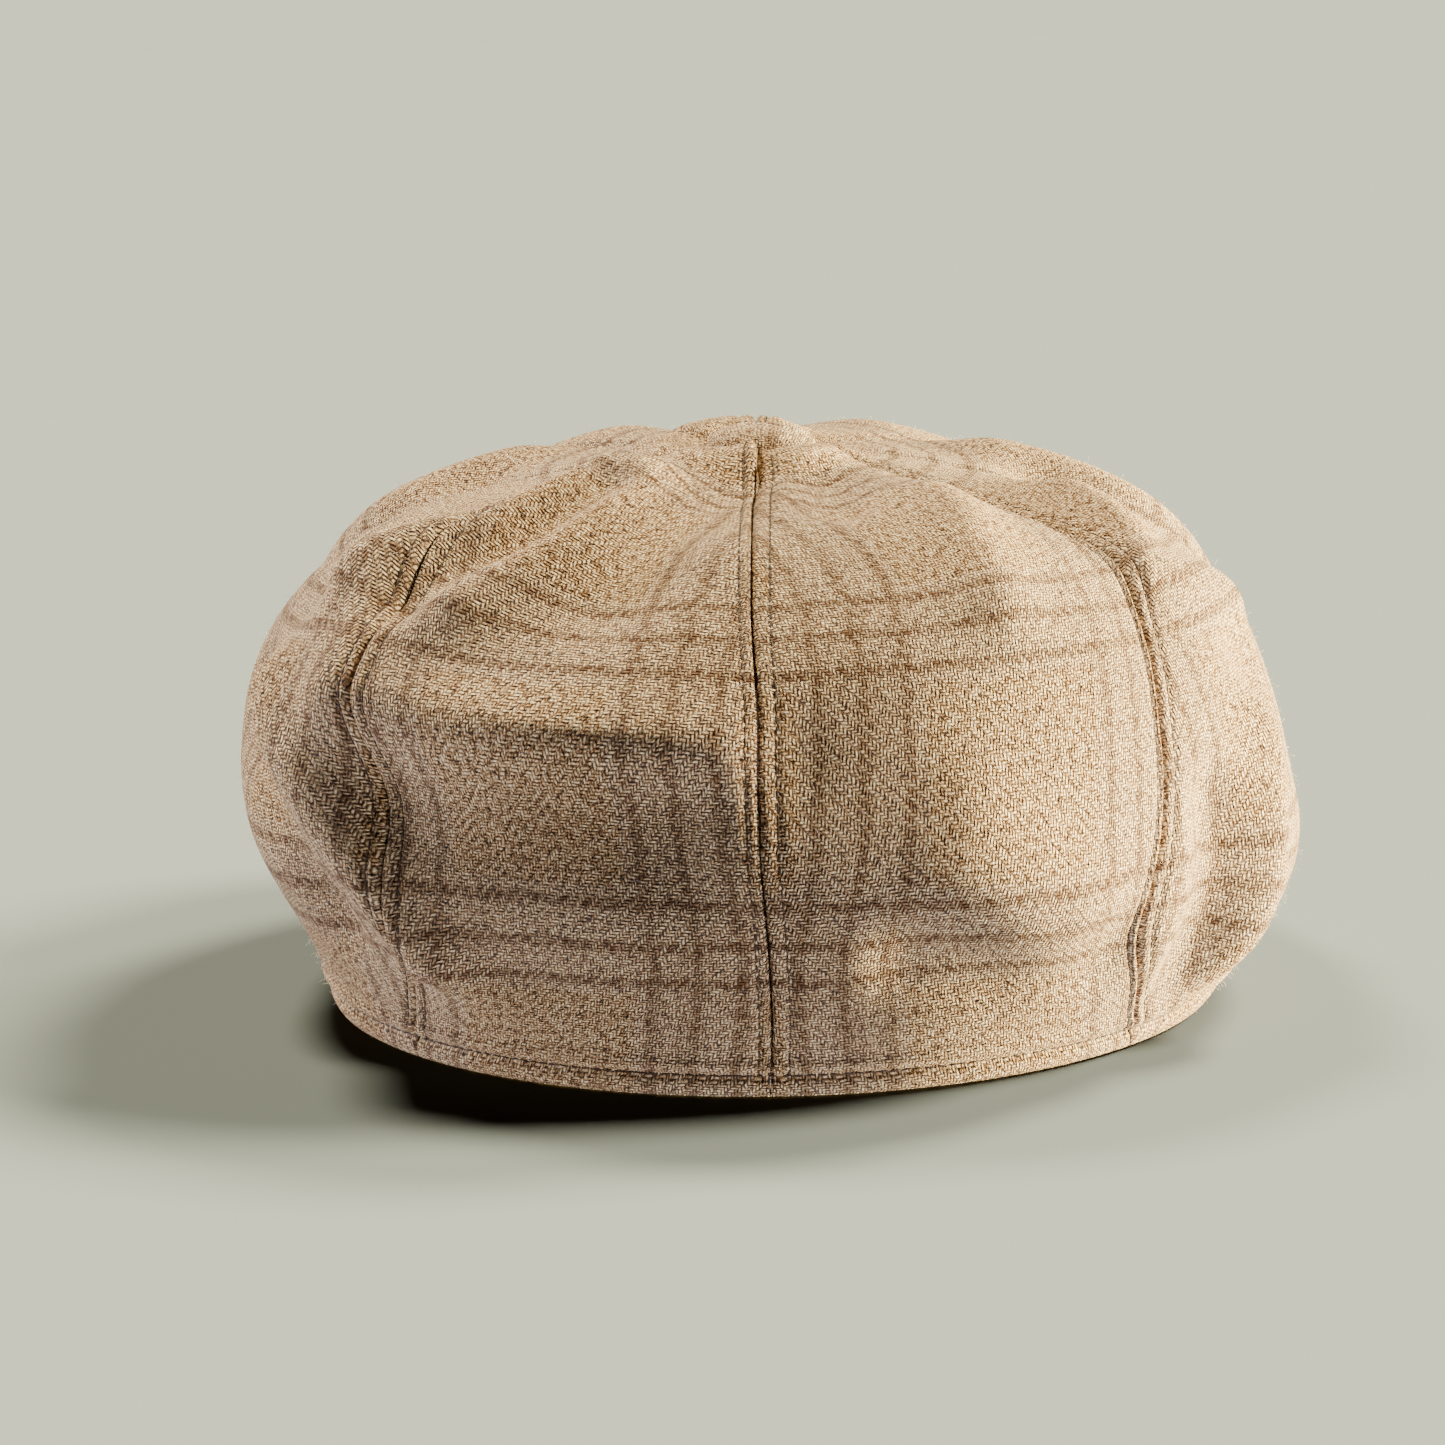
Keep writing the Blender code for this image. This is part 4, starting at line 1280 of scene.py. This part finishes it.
def line_mesh(name, lines):
    """A mesh of open or closed polylines: each is (points, closed)."""
    points, edges = [], []
    for line, closed in lines:
        first = len(points)
        points.extend(line.tolist())
        edges.extend((first + i, first + i + 1) for i in range(len(line) - 1))
        if closed:
            edges.append((first + len(line) - 1, first))
    mesh = bpy.data.meshes.new(name)
    mesh.from_pydata(points, edges, [])
    return mesh


def stitch_piece(name, lines, body, tree, pitch=None, radius=None):
    """Sew stitches along lines, as one piece that follows a body."""
    look = bpy.context.scene.cap_stitch
    obj = add_object(name, line_mesh(name, lines))
    run_tree(obj, tree, {"Pitch": pitch or look.length, "Radius": radius or look.thread,
                         "Material": material("thread")})
    follow(obj, body)


def seam_row_line(seam, after):
    """Points of the topstitching on one side of a seam, just above the cloth."""
    form = crown_form()
    along = np.linspace(HEM_LIP + HEM_CHANNEL_WIDTH, STITCHED_APEX, 300)
    gore = (seam if after else seam - 1) % GORES
    width = (seam_azimuth(gore + 1, along) - seam_azimuth(gore, along)) * form.radius_at(
        seam_azimuth(gore, along), along)
    row = (SEAM_ROWS[0] if after else SEAM_ROWS[1]) * seam_scale(width)
    radius = np.maximum(form.radius_at(seam_azimuth(seam, along), along), APEX_RADIUS)
    azimuth = seam_azimuth(seam, along) + (row if after else -row) / radius
    from_low = row if after else width - row
    relief = seam_relief(from_low, width - from_low, width, along)
    return form.points(azimuth, along, relief + 0.00006)


def hem_row_line(start, stop, count):
    """Points of the topstitching above the hem's edge between two azimuths."""
    azimuth = np.linspace(start, stop, count)
    return crown_form().points(azimuth, np.full(count, HEM_LIP), np.full(count, THREAD_PROUD - HEM_CHANNEL))


def peak_row_line(side):
    """Points of the topstitching along the peak's edge, on its top or under side."""
    across = np.linspace(-0.985, 0.985, 320)
    forward = 1 - PEAK_STITCH_ROW / peak_depth(across)
    kept = (forward > 0.3) & ((1 - np.abs(across)) * 0.15 > PEAK_STITCH_ROW)
    line = peak_surface(across[kept], forward[kept], side)
    line[:, 2] += side * PEAK_THREAD_PROUD
    return line


def label_border():
    """Points of the stitching round the label, just inside its edges."""
    half = LABEL_HALF_ANGLE - LABEL_STITCH_ANGLE
    low, high = LABEL_FOOT + LABEL_STITCH_INSET, LABEL_TOP - LABEL_STITCH_INSET
    corners = [(-half, low), (half, low), (half, high), (-half, high), (-half, low)]
    border = []
    for (azimuth_a, along_a), (azimuth_b, along_b) in zip(corners[:-1], corners[1:]):
        azimuth = np.linspace(azimuth_a, azimuth_b, 60)[:-1]
        along = np.linspace(along_a, along_b, 60)[:-1]
        border.append(label_points(azimuth, along, np.full(len(along), LABEL_STITCH_LIFT)))
    return np.concatenate(border)


def build_stitches():
    """The topstitching of the seams, hem, peak, sweatband and label."""
    tree = stitch_tree()
    rear, front = [], []
    for seam in range(GORES):
        for after in (True, False):
            (front if seam == FRONT_SEAM else rear).append((seam_row_line(seam, after), False))
    rear.append((hem_row_line(-HEM_ROW_CORNER, HEM_ROW_CORNER, 900), False))
    front.append((hem_row_line(HEM_ROW_CORNER, 2 * math.pi - HEM_ROW_CORNER, 300), False))
    stitch_piece("crown_topstitching", rear, front_or_rear(False), tree)
    stitch_piece("forehead_topstitching", front, front_or_rear(True), tree)
    for name, side in (("peak_top_stitching", 1), ("peak_under_stitching", -1)):
        stitch_piece(name, [(peak_row_line(side), False)], "peak", tree, pitch=0.0027)
    rings = [(band_rows([place], 720)[0][0], True) for place in SWEATBAND_ROWS]
    stitch_piece("sweatband_stitching", rings, "crown", tree, pitch=0.0028, radius=0.00018)
    stitch_piece("label_stitching", [(label_border(), True)], "crown", tree, pitch=0.0018, radius=0.00012)


def fibre_tree():
    """Short bent fibres scattered over a skin, leaning every way."""
    tree = Tree("loose_fibres", {
        "Density": ("NodeSocketFloat", 100000.0), "Length": ("NodeSocketFloat", 0.0016),
        "Radius": ("NodeSocketFloat", 0.00002), "Seed": ("NodeSocketInt", 11),
        "Material": ("NodeSocketMaterial", None)})
    points = tree.node("GeometryNodeDistributePointsOnFaces", {"distribute_method": "RANDOM"},
                       {"Mesh": tree.given("Geometry"), "Density": tree.given("Density"),
                        "Seed": tree.given("Seed")})
    line = tree.node("GeometryNodeCurveQuadraticBezier", None,
                     {"Resolution": 4, "Start": (0.0, 0.0, -0.1), "Middle": (0.28, 0.0, 0.55),
                      "End": (0.85, 0.12, 0.62)})
    ring = tree.node("GeometryNodeCurvePrimitiveCircle", None, {"Resolution": 3, "Radius": 1.0})
    ratio = tree.maths("DIVIDE", tree.given("Radius"), tree.given("Length"))
    hair = tree.node("GeometryNodeCurveToMesh", None,
                     {"Curve": line.outputs[0], "Profile Curve": ring.outputs[0], "Scale": ratio,
                      "Fill Caps": True})
    spin = tree.random(0.0, 2 * math.pi, tree.given("Seed"))
    turned = tree.node("FunctionNodeRotateEuler", {"rotation_type": "AXIS_ANGLE", "space": "LOCAL"},
                       {"Rotation": points.outputs["Rotation"], "Axis": (0.0, 0.0, 1.0), "Angle": spin})
    tilt = tree.random((-0.7, -0.7, 0.0), (0.7, 0.7, 0.0), tree.given("Seed"), "FLOAT_VECTOR")
    leaning = tree.node("FunctionNodeRotateEuler", {"rotation_type": "EULER", "space": "LOCAL"},
                        {"Rotation": turned.outputs[0], "Rotate By": tilt})
    size = tree.maths("MULTIPLY", tree.random(0.45, 1.25, tree.given("Seed")), tree.given("Length"))
    placed = tree.node("GeometryNodeInstanceOnPoints", None,
                       {"Points": points.outputs["Points"], "Instance": hair.outputs[0],
                        "Rotation": leaning.outputs[0], "Scale": size})
    return tree.finish(placed.outputs[0], tree.given("Material"))


def fibre_skin(name, grids):
    """One mesh of several skins for the fibres to grow on."""
    points, faces = [], []
    for rows in grids:
        count, width = rows.shape[:2]
        corner = np.arange(count * width).reshape(count, width) + len(points)
        quads = np.stack((corner[:-1, :-1], corner[1:, :-1], corner[1:, 1:], corner[:-1, 1:]), axis=-1)
        points.extend(rows.reshape(-1, 3).tolist())
        faces.extend(quads.reshape(-1, 4).tolist())
    mesh = bpy.data.meshes.new(name)
    mesh.from_pydata(points, [], faces)
    return mesh


def build_fibres():
    """Loose wool on the crown: one piece at the rear, one at the front by the peak."""
    look = bpy.context.scene.cap_fibre
    tree = fibre_tree()
    skins = {False: [], True: []}
    for gore in range(GORES):
        skins[gore in FRONT_GORES].append(crown_panel_rows(gore)[0][FIBRE_FIRST_ROW::3, ::3])
    for name, front in (("crown_fuzz", False), ("forehead_fuzz", True)):
        obj = add_object(name, fibre_skin(name, skins[front]))
        run_tree(obj, tree, {"Density": look.count / FIBRE_FIELD, "Length": look.length,
                             "Radius": look.radius, "Material": material("fibre")})
        follow(obj, front_or_rear(front))


# Stage -------------------------------------------------------------------------------------------
def add_sun(name, toward, strength, spread, tint, receivers):
    """A distant lamp shining from a direction on the receivers."""
    data = bpy.data.lights.new(name, "SUN")
    data.energy = strength
    data.angle = math.radians(spread)
    data.color = tint
    lamp = add_object(name, data)
    lamp.rotation_euler = Vector(toward).to_track_quat("Z", "Y").to_euler()
    lamp.light_linking.receiver_collection = receivers
    if toward[2] < 0:
        lamp.light_linking.blocker_collection = receivers   # a lamp below shines through the floor


def add_floor():
    """A wide floor that the cap stands on, whose colour doesn't bounce onto the cap."""
    mesh = bpy.data.meshes.new("studio_floor")
    corners = [(-1, -1), (1, -1), (1, 1), (-1, 1)]
    mesh.from_pydata([(x * FLOOR_REACH, y * FLOOR_REACH, 0.0) for x, y in corners], [], [(0, 1, 2, 3)])
    mesh.materials.append(material("floor"))
    floor = add_object("studio_floor", mesh)
    floor.visible_diffuse = False
    return floor


def add_world():
    """A plain backdrop for the camera, with hardly any light of its own."""
    world = bpy.data.worlds.new("studio")
    bpy.context.scene.world = world
    world.use_nodes = True
    start = Wire(world.node_tree)
    seen = start.node("ShaderNodeLightPath")
    backdrop = start.node("ShaderNodeBackground", None, {"Color": colour(BACKDROP), "Strength": 1.0})
    ambient = start.node("ShaderNodeBackground", None,
                         {"Color": colour(AMBIENT), "Strength": AMBIENT_STRENGTH})
    mixed = start.node("ShaderNodeMixShader", None, {0: seen, 1: ambient, 2: backdrop})
    world.node_tree.links.new(mixed.socket, world.node_tree.nodes["World Output"].inputs[0])


def add_camera():
    """The camera behind the cap and a little above, turned slightly off the crown's middle."""
    look = bpy.context.scene.cap_stage
    camera = bpy.data.cameras.new("camera")
    camera.lens = look.lens
    camera.sensor_width = 36.0
    camera.clip_start, camera.clip_end = 0.01, 200.0
    eye = add_object("camera", camera)
    target = Vector((0.0, CROWN_Y, CAMERA_TARGET_HEIGHT))
    back = Vector((0.0, math.cos(look.elevation), math.sin(look.elevation)))
    eye.location = target + back * look.distance
    aim = (-back).to_track_quat("-Z", "Y").to_matrix()
    nudge = (Matrix.Rotation(CAMERA_TURN[2], 3, "Z") @ Matrix.Rotation(CAMERA_TURN[0], 3, "Y")
             @ Matrix.Rotation(CAMERA_TURN[1], 3, "X"))
    eye.rotation_mode = "QUATERNION"
    eye.rotation_quaternion = (aim @ nudge).to_quaternion()
    bpy.context.scene.camera = eye


def build_stage():
    """Floor, backdrop, lamps and camera; each lamp lights either the cap or the floor."""
    floor = add_floor()
    add_world()
    lit = {"cap": bpy.data.collections.new("cap_pieces"), "floor": bpy.data.collections.new("floor_only")}
    for obj in bpy.context.scene.objects:
        if obj.type == "MESH":
            lit["floor" if obj is floor else "cap"].objects.link(obj)
    for name, toward, strength, spread, tint, receiver in LAMPS:
        add_sun(name, toward, strength, spread, tint, lit[receiver])
    add_camera()


# Operators, panel and registration ---------------------------------------------------------------
class CAP_OT_crown_panels(bpy.types.Operator):
    """Build the eight tweed panels of the crown with their folded hem"""
    bl_idname = "cap.crown_panels"
    bl_label = "Crown Panels"

    def execute(self, context):
        build_crown_panels()
        return {"FINISHED"}


class CAP_OT_linings(bpy.types.Operator):
    """Build the eight satin panels inside the crown"""
    bl_idname = "cap.linings"
    bl_label = "Lining"

    def execute(self, context):
        build_linings()
        return {"FINISHED"}


class CAP_OT_bands(bpy.types.Operator):
    """Build the sweatband and the stay tape inside the hem"""
    bl_idname = "cap.bands"
    bl_label = "Sweatband and Tape"

    def execute(self, context):
        build_bands()
        return {"FINISHED"}


class CAP_OT_peak(bpy.types.Operator):
    """Build the tweed over and under the peak's board"""
    bl_idname = "cap.peak"
    bl_label = "Peak"

    def execute(self, context):
        build_peak()
        return {"FINISHED"}


class CAP_OT_button(bpy.types.Operator):
    """Build the covered button on the crown's apex"""
    bl_idname = "cap.button"
    bl_label = "Covered Button"

    def execute(self, context):
        build_button()
        return {"FINISHED"}


class CAP_OT_labels(bpy.types.Operator):
    """Build the blank label and the blank size tab"""
    bl_idname = "cap.labels"
    bl_label = "Labels"

    def execute(self, context):
        build_labels()
        return {"FINISHED"}


class CAP_OT_hardware(bpy.types.Operator):
    """Finish the board, the button's metal and the washer"""
    bl_idname = "cap.hardware"
    bl_label = "Board and Button Metal"

    def execute(self, context):
        finish_hardware()
        return {"FINISHED"}


class CAP_OT_stitches(bpy.types.Operator):
    """Sew the topstitching of the seams, hem, peak, sweatband and label"""
    bl_idname = "cap.stitches"
    bl_label = "Stitching"

    def execute(self, context):
        build_stitches()
        return {"FINISHED"}


class CAP_OT_fibres(bpy.types.Operator):
    """Scatter loose wool fibres over the crown"""
    bl_idname = "cap.fibres"
    bl_label = "Wool Fibres"

    def execute(self, context):
        build_fibres()
        return {"FINISHED"}


class CAP_OT_stage(bpy.types.Operator):
    """Set up the floor, the lamps and the camera"""
    bl_idname = "cap.stage"
    bl_label = "Stage"

    def execute(self, context):
        build_stage()
        return {"FINISHED"}


OPERATORS = (CAP_OT_crown_panels, CAP_OT_linings, CAP_OT_bands, CAP_OT_peak, CAP_OT_button,
             CAP_OT_labels, CAP_OT_hardware, CAP_OT_stitches, CAP_OT_fibres, CAP_OT_stage)


class CAP_PT_panel(bpy.types.Panel):
    """The cap's settings and the steps that build it"""
    bl_idname = "CAP_PT_panel"
    bl_label = "Newsboy Cap"
    bl_space_type = "VIEW_3D"
    bl_region_type = "UI"
    bl_category = "Cap"

    def draw(self, context):
        for setting in SETTINGS:
            group = getattr(context.scene, setting)
            box = self.layout.box()
            for name in group.__annotations__:
                box.prop(group, name)
        for operator in OPERATORS:
            self.layout.operator(operator.bl_idname)


CLASSES = (*SETTINGS.values(), *OPERATORS, CAP_PT_panel)


def register():
    for cls in CLASSES:
        bpy.utils.register_class(cls)
    for name, cls in SETTINGS.items():
        setattr(bpy.types.Scene, name, PointerProperty(type=cls))


def unregister():
    for name in SETTINGS:
        delattr(bpy.types.Scene, name)
    for cls in reversed(CLASSES):
        bpy.utils.unregister_class(cls)


def main():
    """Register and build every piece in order."""
    register()
    for operator in OPERATORS:
        family, step = operator.bl_idname.split(".")
        getattr(getattr(bpy.ops, family), step)()


if __name__ == "__main__":
    main()
